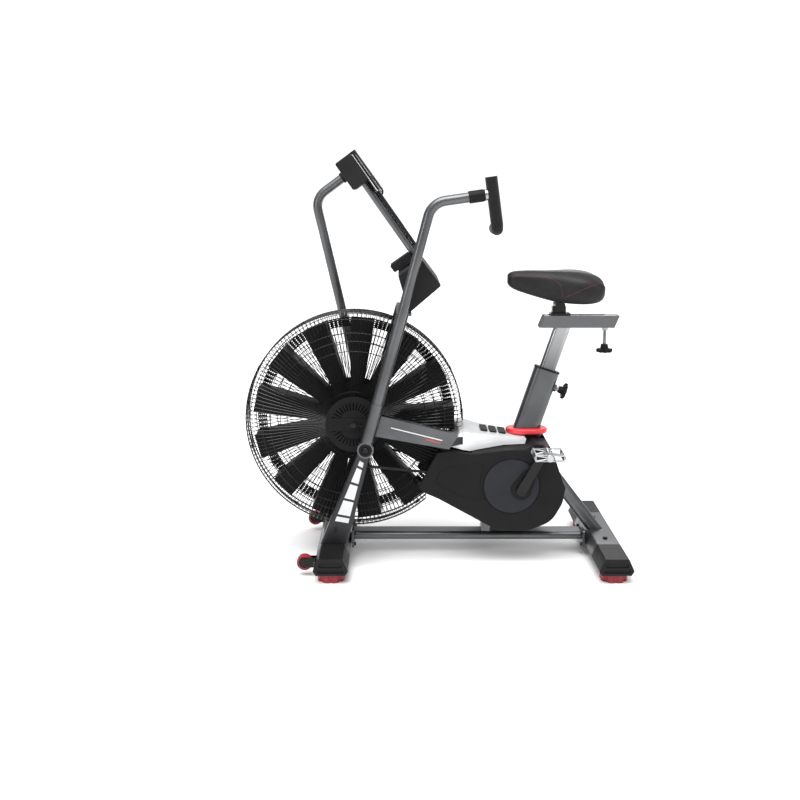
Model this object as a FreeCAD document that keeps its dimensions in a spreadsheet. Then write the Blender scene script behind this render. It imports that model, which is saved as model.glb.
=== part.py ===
import FreeCAD, Part
import math
import os
import Sketcher
from FreeCAD import Placement, Rotation, Vector

# Air bike with a caged fan wheel, swinging handle arms, pedals and an adjustable saddle.
# Millimetres. +Z is up, +X points to the rear of the bike, -Y is the rider's left.
# The origin is on the floor, below the middle of the bike.

doc = FreeCAD.newDocument("air_bike")
sheet = doc.addObject("Spreadsheet::Sheet", "sizes")

driving_sizes = {
    # stabilisers, the two cross feet
    "front_foot_x": -342, "rear_foot_x": 589, "foot_width": 116, "foot_top_width": 78,
    "foot_base": 30, "foot_top": 86, "foot_waist": 45, "tube_half": 185, "boot_end": 340,
    "boot_plug": 36, "steel_wall": 3, "fit_gap": 0.3,
    "leveller_y": 284, "leveller_radius": 45, "leveller_height": 28, "leveller_stem": 6,
    "wheel_x": -432, "wheel_y": 250, "wheel_z": 47, "wheel_radius": 26, "wheel_width": 20,
    # bottom rail and its end brackets
    "rail_front": -275.3, "rail_rear": 521.8, "rail_base": 53, "rail_thick": 29, "rail_width": 80,
    "bracket_thick": 8, "bracket_width": 120,
    # side uprights and beams
    "upright_y": 165, "upright_depth": 40, "upright_wall": 3, "beam_y": 158, "beam_depth": 30,
    "beam_tall": 50,
    # fan, cage and drive
    "fan_x": -272, "fan_z": 485, "fan_radius": 343, "fan_root": 116, "fan_depth": 120,
    "blade_root_width": 44, "blade_tip_width": 82, "blade_sheet": 2, "blade_count": 13, "first_blade": 25.8,
    "cage_radius": 374, "cage_half": 112, "cage_shoulder": 92, "cage_wire": 3, "hub_radius": 95,
    "fan_axle_radius": 8, "fan_pulley_radius": 20, "belt_y": 76, "belt_width": 14,
    "belt_thick": 4, "crank_pulley_radius": 60,
    # cranks and pedals
    "crank_x": 295, "crank_z": 266, "crank_length": 160, "crank_lean": 28.8,
    "crank_axle_radius": 9, "crank_inner": 151, "crank_thick": 15,
    "pedal_inner": 172, "pedal_width": 108, "pedal_length": 96, "pedal_thick": 28,
    # shroud round the drive
    "shroud_half": 142, "shroud_wall": 3, "disc_x": 262, "disc_z": 277, "disc_radius": 93,
    "disc_thick": 4,
    # handles
    "pivot_x": -229, "pivot_z": 424, "handle_y": 222, "left_lean": 15, "right_lean": -13,
    "handle_radius": 16, "handle_bore": 13.5, "arm_straight": 783, "bend_radius": 65,
    "bend_angle": 66.9, "arm_end": 136, "sleeve_radius": 19, "lever_length": 82,
    "lever_y": 137.5, "lever_thick": 7, "pivot_shaft": 11.92, "rod_y": 126, "rod_radius": 5,
    "rod_length": 434, "rod_slope": 5.8, "throw": 20, "throw_radius": 31,
    "grip_radius": 19.5, "grip_up": 58, "grip_down": 112, "grip_inward": 128,
    "grip_bend": 24,
    # seat
    "seat_lean": 18.2, "seat_foot_x": 325.5, "seat_foot_z": 456, "seat_tube_long": 89,
    "seat_tube_wide": 52, "seat_tube_top": 206, "post_long": 55, "post_wide": 32,
    "collar_x": 324, "collar_long": 143, "collar_wide": 100, "collar_low": 433, "collar_high": 451,
    "post_down": 150, "post_up": 362, "saddle_rail_wide": 64, "saddle_rail_tall": 41,
    "saddle_rail_base": 801, "saddle_rail_front": 375, "saddle_rail_length": 253,
    "saddle_slot": 26, "pin_along": 155, "pin_radius": 5, "knob_radius": 29, "knob_x": 585,
    "saddle_width": 226,
    # console and mast
    "console_x": -272, "console_z": 1318, "console_lean": -35.5, "console_thick": 60,
    "console_tall": 104, "console_wide": 220, "mast_radius": 13, "mast_lean": -35.3,
    "cover_half": 188, "button_radius": 7, "button_travel": 1.5,
}
for row, (alias, number) in enumerate(driving_sizes.items(), start=1):
    sheet.set(f"A{row}", alias)
    sheet.set(f"B{row}", str(number))
    sheet.setAlias(f"B{row}", alias)
doc.recompute()

along_x, along_y, along_z = Vector(1, 0, 0), Vector(0, 1, 0), Vector(0, 0, 1)
nodes = []  # every document object that becomes a file of its own


def size(alias):
    return float(sheet.get(alias))


def node(shape_object, label):
    """Name the object after its sub-part and keep it for export."""
    shape_object.Label = label
    nodes.append(shape_object)
    return shape_object


def tilt(angle):
    """Turn about +Y: a positive angle leans +Z towards +X."""
    return Rotation(along_y, angle)


def new_body(name, at=(0, 0, 0), turn=Rotation()):
    body = doc.addObject("PartDesign::Body", name)
    body.AllowCompound = True
    body.Placement = Placement(Vector(*at), turn)
    return body


def new_sketch(body, role, offset=0.0):
    """Sketch on one of the body's own origin planes, offset along the plane's normal."""
    sketch = body.newObject("Sketcher::SketchObject", f"{body.Name}_sketch")
    plane = [feature for feature in body.Origin.OriginFeatures if feature.Role == role][0]
    sketch.AttachmentSupport = [(plane, "")]
    sketch.MapMode = "FlatFace"
    sketch.AttachmentOffset = Placement(Vector(0, 0, offset), Rotation())
    return sketch


def corner_arc(before, corner, after, radius):
    """Start, middle and end of the arc that rounds a corner between two straight sides."""
    to_before = (before - corner).normalize()
    to_after = (after - corner).normalize()
    half = to_before.getAngle(to_after) / 2
    reach = radius / math.tan(half)
    bisector = (to_before + to_after).normalize()
    centre = corner + bisector * (radius / math.sin(half))
    middle = centre - bisector * radius
    return corner + to_before * reach, middle, corner + to_after * reach


def outline(sketch, points):
    """Closed outline of straight sides; each point is (x, y) or (x, y, corner radius)."""
    corners = [Vector(point[0], point[1], 0) for point in points]
    rounded = []
    for i, corner in enumerate(corners):
        if len(points[i]) > 2 and points[i][2] > 0:
            following = corners[(i + 1) % len(corners)]
            rounded.append(corner_arc(corners[i - 1], corner, following, points[i][2]))
        else:
            rounded.append((corner, None, corner))
    edges = []
    for i, (start, middle, end) in enumerate(rounded):
        if middle:
            edges.append(Part.Arc(start, middle, end))
        edges.append(Part.LineSegment(end, rounded[(i + 1) % len(rounded)][0]))
    ids = [sketch.addGeometry(edge) for edge in edges]
    # A sketch stores arcs counter-clockwise, so a hollow corner's arc starts at its far end.
    path_starts = []
    for start, middle, end in rounded:
        path_starts += [start, end] if middle else [end]
    turned = [sketch.getPoint(index, 1).distanceToPoint(start) > 1e-5
              for index, start in zip(ids, path_starts)]
    for i, this in enumerate(ids):
        following = (i + 1) % len(ids)
        end = 1 if turned[i] else 2
        start = 2 if turned[following] else 1
        sketch.addConstraint(Sketcher.Constraint("Coincident", this, end, ids[following], start))


def circle(sketch, alias, x=0.0, y=0.0):
    """Circle whose radius is bound to a cell of the sheet."""
    index = sketch.addGeometry(Part.Circle(Vector(x, y, 0), along_z, size(alias)))
    radius = sketch.addConstraint(Sketcher.Constraint("Radius", index, size(alias)))
    sketch.setExpression(f"Constraints[{radius}]", f"sizes.{alias}")
    if x == 0 and y == 0:
        sketch.addConstraint(Sketcher.Constraint("Coincident", index, 3, -1, 1))
    else:
        sketch.addConstraint(Sketcher.Constraint("DistanceX", -1, 1, index, 3, x))
        sketch.addConstraint(Sketcher.Constraint("DistanceY", -1, 1, index, 3, y))


def box_outline(sketch, wide, tall, x=0.0, y=0.0, radius=0.0):
    outline(sketch, [(x - wide / 2, y - tall / 2, radius), (x + wide / 2, y - tall / 2, radius),
                     (x + wide / 2, y + tall / 2, radius), (x - wide / 2, y + tall / 2, radius)])


def feature(body, kind, sketch, length, symmetric=False, reverse=False):
    """Pad or Pocket; a length given as text is an expression on the sheet's cells."""
    made = body.newObject(f"PartDesign::{kind}", f"{body.Name}_{kind}")
    made.Profile = sketch
    if isinstance(length, str):
        made.setExpression("Length", length)
    else:
        made.Length = length
    made.SideType = "Symmetric" if symmetric else "One side"
    made.Reversed = reverse
    doc.recompute()
    return made


def dress(body, kind, edges, reach):
    """Fillet or Chamfer on the named edges of the body so far."""
    base = body.Tip
    made = body.newObject(f"PartDesign::{kind}", f"{body.Name}_{kind}")
    made.Base = (base, edges)
    if kind == "Fillet":
        made.Radius = reach
    else:
        made.Size = reach
    doc.recompute()
    return made


def edges_where(body, test):
    return [f"Edge{i}" for i, edge in enumerate(body.Shape.Edges, start=1) if test(edge)]


def revolve(body, sketch, kind="Revolution"):
    """Full turn of a sketch about its own vertical axis."""
    made = body.newObject(f"PartDesign::{kind}", f"{body.Name}_{kind}")
    made.Profile = sketch
    made.ReferenceAxis = (sketch, ["V_Axis"])
    made.Angle = 360
    doc.recompute()
    return made


def polar(body, originals, count):
    """Repeat features round the body's own Z axis."""
    pattern = body.newObject("PartDesign::PolarPattern", f"{body.Name}_polar")
    pattern.Originals = originals
    axis = [feature for feature in body.Origin.OriginFeatures if feature.Role == "Z_Axis"][0]
    pattern.Axis = (axis, [""])
    pattern.Angle = 360
    pattern.Occurrences = count
    body.Tip = pattern
    doc.recompute()
    return pattern


def inset(points, distance):
    """Corners of a counter-clockwise outline moved inwards by a wall's thickness."""
    moved = []
    for i, point in enumerate(points):
        corner = Vector(point[0], point[1], 0)
        before = Vector(*points[i - 1][:2], 0)
        after = Vector(*points[(i + 1) % len(points)][:2], 0)
        side_in = (corner - before).normalize()
        side_out = (after - corner).normalize()
        normal_in = Vector(-side_in.y, side_in.x, 0)
        normal_out = Vector(-side_out.y, side_out.x, 0)
        step = (normal_in + normal_out) * (distance / (1 + normal_in.dot(normal_out)))
        radius = max(point[2] - distance, 1) if len(point) > 2 else 0
        moved.append((corner.x + step.x, corner.y + step.y, radius))
    return moved


def tube(name, outer, inner, length, at, turn):
    """Round tube or, with no bore, round bar along its own +Z."""
    body = new_body(name, at, turn)
    sketch = new_sketch(body, "XY_Plane")
    circle(sketch, outer)
    if inner:
        circle(sketch, inner)
    feature(body, "Pad", sketch, length)
    return body


def cylinder(name, radius, height, at, axis=along_z):
    """Part cylinder from its base centre, along the given axis."""
    part = doc.addObject("Part::Cylinder", name)
    part.Radius = radius
    part.Height = height
    part.Placement = Placement(Vector(*at), Rotation(along_z, axis))
    return part


def block(name, low, high):
    """Part box between two corners."""
    part = doc.addObject("Part::Box", name)
    part.Length, part.Width, part.Height = [high[i] - low[i] for i in range(3)]
    part.Placement = Placement(Vector(*low), Rotation())
    return part


def fuse(name, parts):
    joined = doc.addObject("Part::MultiFuse", name)
    joined.Shapes = parts
    joined.Refine = True
    doc.recompute()
    return joined


def cut(name, base, tool):
    made = doc.addObject("Part::Cut", name)
    made.Base = base
    made.Tool = tool
    doc.recompute()
    return made


def common(name, parts):
    made = doc.addObject("Part::MultiCommon", name)
    made.Shapes = parts
    doc.recompute()
    return made


def group(name, parts):
    """Identical pieces kept as separate solids in one node."""
    made = doc.addObject("Part::Compound", name)
    made.Links = parts
    doc.recompute()
    return made


def side_name(side):
    return "left" if side < 0 else "right"


fit = size("fit_gap")

# ---------------------------------------------------------------- stabilisers and boots


def foot_section():
    """Half-hexagon section of the stabilisers, widest at its waist."""
    wide, top_wide = size("foot_width") / 2, size("foot_top_width") / 2
    base, waist, top = size("foot_base"), size("foot_waist"), size("foot_top")
    return [(-wide + 10, base, 6), (wide - 10, base, 6), (wide, waist, 8),
            (top_wide, top, 6), (-top_wide, top, 6), (-wide, waist, 8)]


def stabiliser(name, x):
    body = new_body(name, (x, 0, 0))
    skin = new_sketch(body, "XZ_Plane")
    outline(skin, foot_section())
    feature(body, "Pad", skin, "2 * sizes.tube_half", symmetric=True)
    bore = new_sketch(body, "XZ_Plane")
    outline(bore, inset(foot_section(), size("steel_wall")))
    feature(body, "Pocket", bore, "2 * sizes.tube_half + 2", symmetric=True)
    return body


def boot(name, x, side):
    """Moulded end boot: a plug in the tube, a solid foot and a recessed end."""
    body = new_body(name, (x, side * size("tube_half"), 0))
    skin = new_sketch(body, "XZ_Plane")
    outline(skin, foot_section())
    feature(body, "Pad", skin, "sizes.boot_end - sizes.tube_half", reverse=side > 0)
    plug = new_sketch(body, "XZ_Plane")
    outline(plug, inset(foot_section(), size("steel_wall") + 0.2))
    feature(body, "Pad", plug, "sizes.boot_plug", reverse=side < 0)
    reach = size("boot_end") - size("tube_half")
    for z, tall in ((65, 18), (44, 12)):
        recess = new_sketch(body, "XZ_Plane", offset=-side * reach)
        box_outline(recess, 78 if z > 50 else 88, tall, y=z, radius=tall / 2 - 1)
        feature(body, "Pocket", recess, 5, reverse=side > 0)
    stem_hole = new_sketch(body, "XY_Plane")
    index = stem_hole.addGeometry(Part.Circle(
        Vector(0, side * (size("leveller_y") - size("tube_half")), 0), along_z,
        size("leveller_stem") + fit))
    stem_hole.addConstraint(Sketcher.Constraint("Radius", index, size("leveller_stem") + fit))
    feature(body, "Pocket", stem_hole, 62, reverse=True)
    return body


def leveller(x, side):
    """Lobed adjusting foot with its threaded stem."""
    name = ("front_" if x < 0 else "rear_") + side_name(side) + "_leveller"
    body = new_body(name + "_body", (x, side * size("leveller_y"), 0))
    disc = new_sketch(body, "XY_Plane")
    circle(disc, "leveller_radius")
    base = feature(body, "Pad", disc, "sizes.leveller_height")
    lobe_gap = new_sketch(body, "XY_Plane")
    reach = size("leveller_radius") + 6
    lobe_gap.addGeometry(Part.Circle(Vector(reach, 0, 0), along_z, 11))
    notch = feature(body, "Pocket", lobe_gap, "sizes.leveller_height", reverse=True)
    polar(body, [notch], 8)
    stem = new_sketch(body, "XY_Plane")
    circle(stem, "leveller_stem")
    body.Tip = feature(body, "Pad", stem, 56)
    return node(body, name)


def wheel_fork(side):
    """Two ears and a web that carry a transport wheel on the front stabiliser."""
    parts = []
    for ear in (-1, 1):
        y = side * size("wheel_y") + ear * (size("wheel_width") / 2 + 3)
        plate = new_body(f"fork_{side_name(side)}_{ear + 1}", (0, y, 0))
        shape = new_sketch(plate, "XZ_Plane")
        outline(shape, [(size("wheel_x") - 18, 32, 15), (-401, 32), (-401, 45), (-392, 64),
                        (size("wheel_x") - 18, 64, 15)])
        feature(plate, "Pad", shape, 4, symmetric=True)
        parts.append(plate)
    pin = cylinder(f"fork_pin_{side_name(side)}", 4, size("wheel_width") + 8,
                   (size("wheel_x"), side * size("wheel_y") - size("wheel_width") / 2 - 4,
                    size("wheel_z")), along_y)
    return parts + [pin]


def wheel(side):
    name = side_name(side) + "_wheel"
    body = new_body(name + "_body", (size("wheel_x"), side * size("wheel_y"), size("wheel_z")),
                    Rotation(along_x, 90))
    tyre = new_sketch(body, "XY_Plane")
    circle(tyre, "wheel_radius")
    tyre.addGeometry(Part.Circle(Vector(), along_z, 4.08))
    feature(body, "Pad", tyre, "sizes.wheel_width", symmetric=True)
    dish = new_sketch(body, "XY_Plane", offset=size("wheel_width") / 2)
    dish.addGeometry(Part.Circle(Vector(), along_z, 19))
    dish.addGeometry(Part.Circle(Vector(), along_z, 9))
    feature(body, "Pocket", dish, 4)
    return node(body, name)


front_tube = stabiliser("front_tube", size("front_foot_x"))
fork_parts = wheel_fork(-1) + wheel_fork(1)
node(front_tube, "front_stabiliser")
node(stabiliser("rear_tube", size("rear_foot_x")), "rear_stabiliser")
node(fuse("wheel_forks_joined", fork_parts), "wheel_forks")
boots = [boot(f"boot_{side_name(side)}_{i}", x, side) for side in (-1, 1)
         for i, x in enumerate((size("front_foot_x"), size("rear_foot_x")))]
node(group("boots_group", boots), "stabiliser_boots")
for foot_x in (size("front_foot_x"), size("rear_foot_x")):
    leveller(foot_x, -1)
    leveller(foot_x, 1)
wheel(-1)
wheel(1)

# ---------------------------------------------------------------- bottom rail and uprights


def base_rail():
    """Flat oval rail between the two stabilisers, hollow."""
    length = size("rail_rear") - size("rail_front")
    middle_z = size("rail_base") + size("rail_thick") / 2
    body = new_body("rail_body", (size("rail_front"), 0, middle_z))
    skin = new_sketch(body, "YZ_Plane")
    box_outline(skin, size("rail_width"), size("rail_thick"), radius=size("rail_thick") / 2 - 0.5)
    feature(body, "Pad", skin, "sizes.rail_rear - sizes.rail_front")
    bore = new_sketch(body, "YZ_Plane")
    wall = size("steel_wall")
    box_outline(bore, size("rail_width") - 2 * wall, size("rail_thick") - 2 * wall,
                radius=size("rail_thick") / 2 - wall - 0.5)
    feature(body, "Pocket", bore, length + 2, reverse=True)
    return body


def rail_bracket(name, x):
    """Plate between the rail's end and a stabiliser."""
    body = new_body(name, (x, 0, 0))
    plate = new_sketch(body, "YZ_Plane")
    box_outline(plate, size("bracket_width"), 62, y=61, radius=8)
    feature(body, "Pad", plate, "sizes.bracket_thick", symmetric=True)
    return body


def upright_outline():
    """Side outline of an upright: flared foot, then a slow taper to the top."""
    return [(-384, 86.4), (-293, 86.4), (-214, 396), (-88, 858), (-130, 858), (-258, 396)]


def upright(side):
    name = side_name(side) + "_upright"
    body = new_body(name + "_body", (0, side * size("upright_y"), 0))
    skin = new_sketch(body, "XZ_Plane")
    outline(skin, upright_outline())
    feature(body, "Pad", skin, "sizes.upright_depth", symmetric=True)
    dress(body, "Fillet", edges_where(body, lambda edge: edge.Length > 200), 7)
    hollow = new_sketch(body, "XZ_Plane")
    outline(hollow, inset(upright_outline(), size("upright_wall")))
    feature(body, "Pocket", hollow, "sizes.upright_depth - 2 * sizes.upright_wall", symmetric=True)
    pivot_hole = new_sketch(body, "XZ_Plane")
    pivot_hole.addGeometry(Part.Circle(Vector(size("pivot_x"), size("pivot_z"), 0), along_z, 12))
    feature(body, "Pocket", pivot_hole, "sizes.upright_depth + 2", symmetric=True)
    return node(body, name)


def side_beam(side):
    """Rectangular beam from an upright back to the seat frame, bent inwards at its rear."""
    half = size("beam_depth") / 2
    y = side * size("beam_y")
    body = new_body(f"beam_{side_name(side)}", (0, y, 0))
    skin = new_sketch(body, "XZ_Plane")
    outline(skin, [(-196.9, 456), (48, 412, 5), (80, 461, 5), (-177.2, 525)])
    feature(body, "Pad", skin, "sizes.beam_depth", symmetric=True)
    hollow = new_sketch(body, "XZ_Plane")
    outline(hollow, [(-193, 458.5), (46, 415.6), (74, 459.3), (-174.6, 521.5)])
    feature(body, "Pocket", hollow, "sizes.beam_depth - 2 * sizes.steel_wall", symmetric=True)
    arm = new_body(f"beam_arm_{side_name(side)}")
    bent = new_sketch(arm, "XY_Plane", offset=416)
    near = side * (abs(y) - half)
    outline(bent, [(30, near), (30, side * 157), (48, side * 157), (96, side * 112),
                   (96, side * 26.3), (74, side * 26.3), (74, side * 104), (36, near)])
    feature(arm, "Pad", bent, 26)
    return fuse(f"beam_joined_{side_name(side)}", [body, arm])


def seat_frame():
    """Welded core: seat tube, crank shell, spine under the top cover and a pedestal."""
    lean = size("seat_lean")
    foot = (size("seat_foot_x"), 0, size("seat_foot_z"))
    tube_body = new_body("seat_tube_body", foot, tilt(lean))
    skin = new_sketch(tube_body, "XY_Plane", offset=-150)
    box_outline(skin, size("seat_tube_long"), size("seat_tube_wide"), radius=22)
    feature(tube_body, "Pad", skin, "sizes.seat_tube_top + 150")
    bore = new_sketch(tube_body, "XY_Plane", offset=size("seat_tube_top"))
    box_outline(bore, size("seat_tube_long") - 6, size("seat_tube_wide") - 6, radius=19)
    feature(tube_body, "Pocket", bore, "sizes.seat_tube_top + 147")
    shell = cylinder("crank_shell", 22, 68, (size("crank_x"), -34, size("crank_z")), along_y)
    spine = block("spine", (84, -26, 404), (300, 26, 426))
    spine_joined = cut("spine_trimmed", spine, block("spine_window", (100, -22, 408), (280, 22, 422)))
    rail_top = size("rail_base") + size("rail_thick") + 0.2
    pedestal = cut("pedestal_tube", block("pedestal", (170, -28, rail_top), (200, 28, 404)),
                   block("pedestal_bore", (173, -25, rail_top), (197, 25, 404)))
    web = new_body("crank_web", (0, 0, 0))
    plate = new_sketch(web, "XZ_Plane")
    outline(plate, [(198, 250), (295, 250), (310, 330), (198, 330)])
    feature(web, "Pad", plate, 24, symmetric=True)
    # The pop pin slides in a boss on the back of the seat tube.
    pin_axis = tilt(lean) * along_x
    half_long = size("seat_tube_long") / 2
    boss = cylinder("pin_boss", 13, 9, seat_point(half_long - 2, size("pin_along")), pin_axis)
    joined = fuse("seat_frame_joined", [tube_body, shell, spine_joined, pedestal, web, boss])
    bore_tool = cylinder("crank_bore", size("crank_axle_radius") + 0.08, 80,
                         (size("crank_x"), -40, size("crank_z")), along_y)
    clear = new_body("seat_bore", foot, tilt(lean))
    clear_sketch = new_sketch(clear, "XY_Plane", offset=-110)
    box_outline(clear_sketch, size("seat_tube_long") - 6, size("seat_tube_wide") - 6, radius=19)
    feature(clear, "Pad", clear_sketch, "sizes.seat_tube_top + 120")
    pin_hole = cylinder("pop_pin_hole", size("pin_radius") + 0.08, 60,
                        seat_point(25, size("pin_along")), pin_axis)
    tools = fuse("seat_frame_tools", [bore_tool, clear, pin_hole])
    return cut("seat_frame_cut", joined, tools)


def seat_point(across, along, y=0.0):
    """Point given by its distances across and along the leaning seat tube."""
    local = tilt(size("seat_lean")).multVec(Vector(across, y, along))
    return (size("seat_foot_x") + local.x, local.y, size("seat_foot_z") + local.z)


def tube_plug(name, grow, low, high):
    """Leaning solid that follows the seat tube's section, grown outwards."""
    body = new_body(name, seat_point(0, low), tilt(size("seat_lean")))
    plug = new_sketch(body, "XY_Plane")
    box_outline(plug, size("seat_tube_long") + 2 * grow, size("seat_tube_wide") + 2 * grow,
                radius=22 + grow)
    feature(body, "Pad", plug, high - low)
    return body


def level_oval(name, grow, low, high):
    """Level flat oval solid round the foot of the seat tube."""
    body = new_body(name, (size("collar_x"), 0, low))
    skin = new_sketch(body, "XY_Plane")
    wide = size("collar_wide") + 2 * grow
    box_outline(skin, size("collar_long") + 2 * grow, wide, radius=wide / 2 - 1)
    feature(body, "Pad", skin, high - low)
    return body


def collar_room(name):
    """Solid plug a little larger than the collar and its base, for the covers round them."""
    return fuse(name, [tube_plug(name + "_base", 12.3, -58.3, 30),
                       level_oval(name + "_ring", 0.4, size("collar_low") - 0.4, 480)])


def rear_strut():
    """Flat oval strut from the back of the seat tube down to the rear stabiliser."""
    foot = Vector(572, 0, 84)
    top = Vector(337, 0, 392)
    direction = foot - top
    body = new_body("strut_body", top, Rotation(along_z, direction))
    skin = new_sketch(body, "XY_Plane")
    box_outline(skin, 46, 40, radius=17)
    feature(body, "Pad", skin, direction.Length + 40)
    bore = new_sketch(body, "XY_Plane")
    box_outline(bore, 40, 34, radius=14)
    feature(body, "Pocket", bore, direction.Length + 42, reverse=True)
    rooms = [tube_plug("seat_tube_room", 0.3, -160, 140), collar_room("strut_collar_room")]
    below = block("below_strut", (480, -60, 0), (700, 60, size("foot_top") + 0.4))
    return cut("strut_trimmed", body, fuse("strut_rooms", rooms + [below]))


node(base_rail(), "base_rail")
brackets = [rail_bracket("bracket_front", -279.5), rail_bracket("bracket_rear", 526)]
node(group("brackets_group", brackets), "rail_brackets")
upright(-1)
upright(1)
node(group("beams_group", [side_beam(-1), side_beam(1)]), "side_beams")
node(seat_frame(), "seat_frame")
node(rear_strut(), "rear_strut")

# ---------------------------------------------------------------- drive shroud and covers


def shroud_outline():
    """Side outline of the drive shroud: pointed nose, round belly, step behind the seat."""
    return [(-54, 272, 8), (-34, 253, 10), (16, 231, 20), (166, 148, 40), (214, 122, 60),
            (318, 118, 90), (400, 150, 90), (436, 214, 60), (446, 270, 6), (438, 284, 8),
            (425, 322, 40), (408, 372, 20), (388, 416, 8), (338, 424, 8), (310, 404, 8),
            (240, 402, 30), (120, 388, 30), (52, 402, 6), (10, 393, 8)]


def shroud(side):
    name = side_name(side) + "_shroud"
    body = new_body(name + "_body", (0, side * 0.25, 0))
    skin = new_sketch(body, "XZ_Plane")
    outline(skin, shroud_outline())
    feature(body, "Pad", skin, "sizes.shroud_half", reverse=side > 0)
    dress(body, "Fillet", edges_where(body, lambda edge: all(
        abs(abs(vertex.Point.y) - size("shroud_half")) < 1 for vertex in edge.Vertexes)), 5)
    hollow = new_sketch(body, "XZ_Plane")
    outline(hollow, inset(shroud_outline(), size("shroud_wall")))
    feature(body, "Pocket", hollow, "sizes.shroud_half - sizes.shroud_wall", reverse=side < 0)
    face = new_sketch(body, "XZ_Plane", offset=-side * size("shroud_half"))
    face.addGeometry(Part.Circle(Vector(size("disc_x"), size("disc_z"), 0), along_z,
                                 size("disc_radius") + 1))
    feature(body, "Pocket", face, "sizes.disc_thick - 2.5", reverse=side > 0)
    window = new_sketch(body, "XZ_Plane", offset=-side * size("shroud_half"))
    window.addGeometry(Part.Circle(Vector(size("crank_x"), size("crank_z"), 0), along_z, 26))
    feature(body, "Pocket", window, 12, reverse=side > 0)
    return body


def shroud_openings():
    """Everything that passes out of the closed shroud, grown by a small clearance."""
    return fuse("shroud_openings", [
        block("pedestal_gap", (168, -30, 90), (202, 30, 160)),
        block("strut_gap", (396, -26, 190), (470, 26, 330)),
        block("seat_gap", (260, -30, 380), (390, 30, 470)),
        block("pedestal_top_gap", (168, -30, 380), (202, 30, 410)),
        block("spine_gap", (36, -122, 380), (130, 122, 430)),
        block("rod_gap", (-70, -134, 220), (48, 134, 431)),
        collar_room("shroud_collar_room"),
    ])


def shroud_disc(side):
    """Flat round cover with a lobe-shaped recess and the crank's hole."""
    outer_face = size("shroud_half") + 0.25 + 2.5
    body = new_body(f"disc_{side_name(side)}", (0, side * (outer_face - size("disc_thick")), 0))
    plate = new_sketch(body, "XZ_Plane")
    plate.addGeometry(Part.Circle(Vector(size("disc_x"), size("disc_z"), 0), along_z,
                                  size("disc_radius")))
    feature(body, "Pad", plate, "sizes.disc_thick - 0.3", reverse=side > 0)
    hole = new_sketch(body, "XZ_Plane")
    hole.addGeometry(Part.Circle(Vector(size("crank_x"), size("crank_z"), 0), along_z, 24))
    feature(body, "Pocket", hole, 20, symmetric=True)
    return body


def cover_plan(grow):
    """Half widths of the top cover seen from above, widest where it meets the beams."""
    half = [(40, 120), (92, 120, 24), (150, 96, 60), (240, 74, 60), (340, 68)]
    side = [(x, -(y + grow)) + tuple(r) for x, y, *r in half]
    return side + [(x, -y) + tuple(r) for x, y, *r in side[::-1]]


def top_cover():
    """White cover over the spine, from the beams' ends back under the seat collar."""
    side_body = new_body("cover_side")
    side_view = new_sketch(side_body, "XZ_Plane")
    outline(side_view, [(56, 409), (122, 390.5, 20), (240, 404.5, 20), (312, 407), (318, 428, 6),
                        (262, 433, 10), (160, 447, 40), (108, 458, 16), (86, 456, 8)])
    feature(side_body, "Pad", side_view, 400, symmetric=True)
    plan_body = new_body("cover_plan")
    plan = new_sketch(plan_body, "XY_Plane", offset=380)
    outline(plan, cover_plan(0))
    feature(plan_body, "Pad", plan, 100)
    inner_side = new_body("cover_inner_side")
    inner_view = new_sketch(inner_side, "XZ_Plane")
    outline(inner_view, [(40, 376), (309, 376), (314.5, 425.5, 3), (261, 429.8, 8), (159, 443.8, 40),
                         (107.5, 454.7, 13), (88.2, 453, 5)])
    feature(inner_side, "Pad", inner_view, 400, symmetric=True)
    inner_plan_body = new_body("cover_inner_plan")
    inner_plan = new_sketch(inner_plan_body, "XY_Plane", offset=370)
    outline(inner_plan, cover_plan(-3))
    feature(inner_plan_body, "Pad", inner_plan, 110)
    shell = cut("cover_shell", common("cover_skin", [side_body, plan_body]),
                common("cover_hollow", [inner_side, inner_plan_body]))
    return shell


def seat_collar():
    """Level rounded ring round the foot of the leaning seat tube."""
    ring = level_oval("seat_collar_body", 0, size("collar_low"), size("collar_high"))
    dress(ring, "Fillet", edges_where(ring, lambda edge: edge.BoundBox.ZLength < 0.1), 6)
    return cut("seat_collar_cut", ring, fuse("seat_collar_rooms", [
        tube_plug("seat_collar_bore", 0.2, -80, 80), spine_room_core]))


def collar_base():
    """Sleeve round the seat tube between the shroud's top and the collar."""
    skin = tube_plug("collar_base_body", 12, -58, 20)
    above = block("above_base", (200, -90, size("collar_low") - 0.3), (460, 90, 520))
    return cut("collar_base_cut", skin, fuse("collar_base_rooms", [
        tube_plug("collar_base_bore", 0.2, -90, 60), above, spine_room_core]))


openings = shroud_openings()
left_half = cut("left_shroud_cut", shroud(-1), openings)
right_half = cut("right_shroud_cut", shroud(1), openings)
node(left_half, "left_shroud")
node(right_half, "right_shroud")
node(group("discs_group", [shroud_disc(-1), shroud_disc(1)]), "shroud_discs")
spine_room_core = block("spine_room_core", (60, -26.5, 380), (310, 26.5, 426.5))
spine_room = fuse("spine_room", [
    spine_room_core,
    block("pedestal_room", (169.5, -28.5, 380), (200.5, 28.5, 405)),
    block("left_arm_room", (20, -158, 415.5), (97, -26, 442.5)),
    block("right_arm_room", (20, 26, 415.5), (97, 158, 442.5)),
    collar_room("cover_collar_room"),
    cylinder("fan_room", size("fan_radius") + 4, 132, (size("fan_x"), -66, size("fan_z")),
             along_y),
])
node(cut("top_cover_cut", top_cover(), spine_room), "top_cover")
pads = []
for i in range(3):
    pad_body = new_body(f"step_pad_{i}", (174 + 31.5 * i, 0, 445.5 - 4.3 * i), tilt(7.8))
    pad_sketch = new_sketch(pad_body, "XY_Plane")
    box_outline(pad_sketch, 24, 88, radius=7)
    feature(pad_body, "Pad", pad_sketch, 5)
    pads.append(pad_body)
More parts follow.
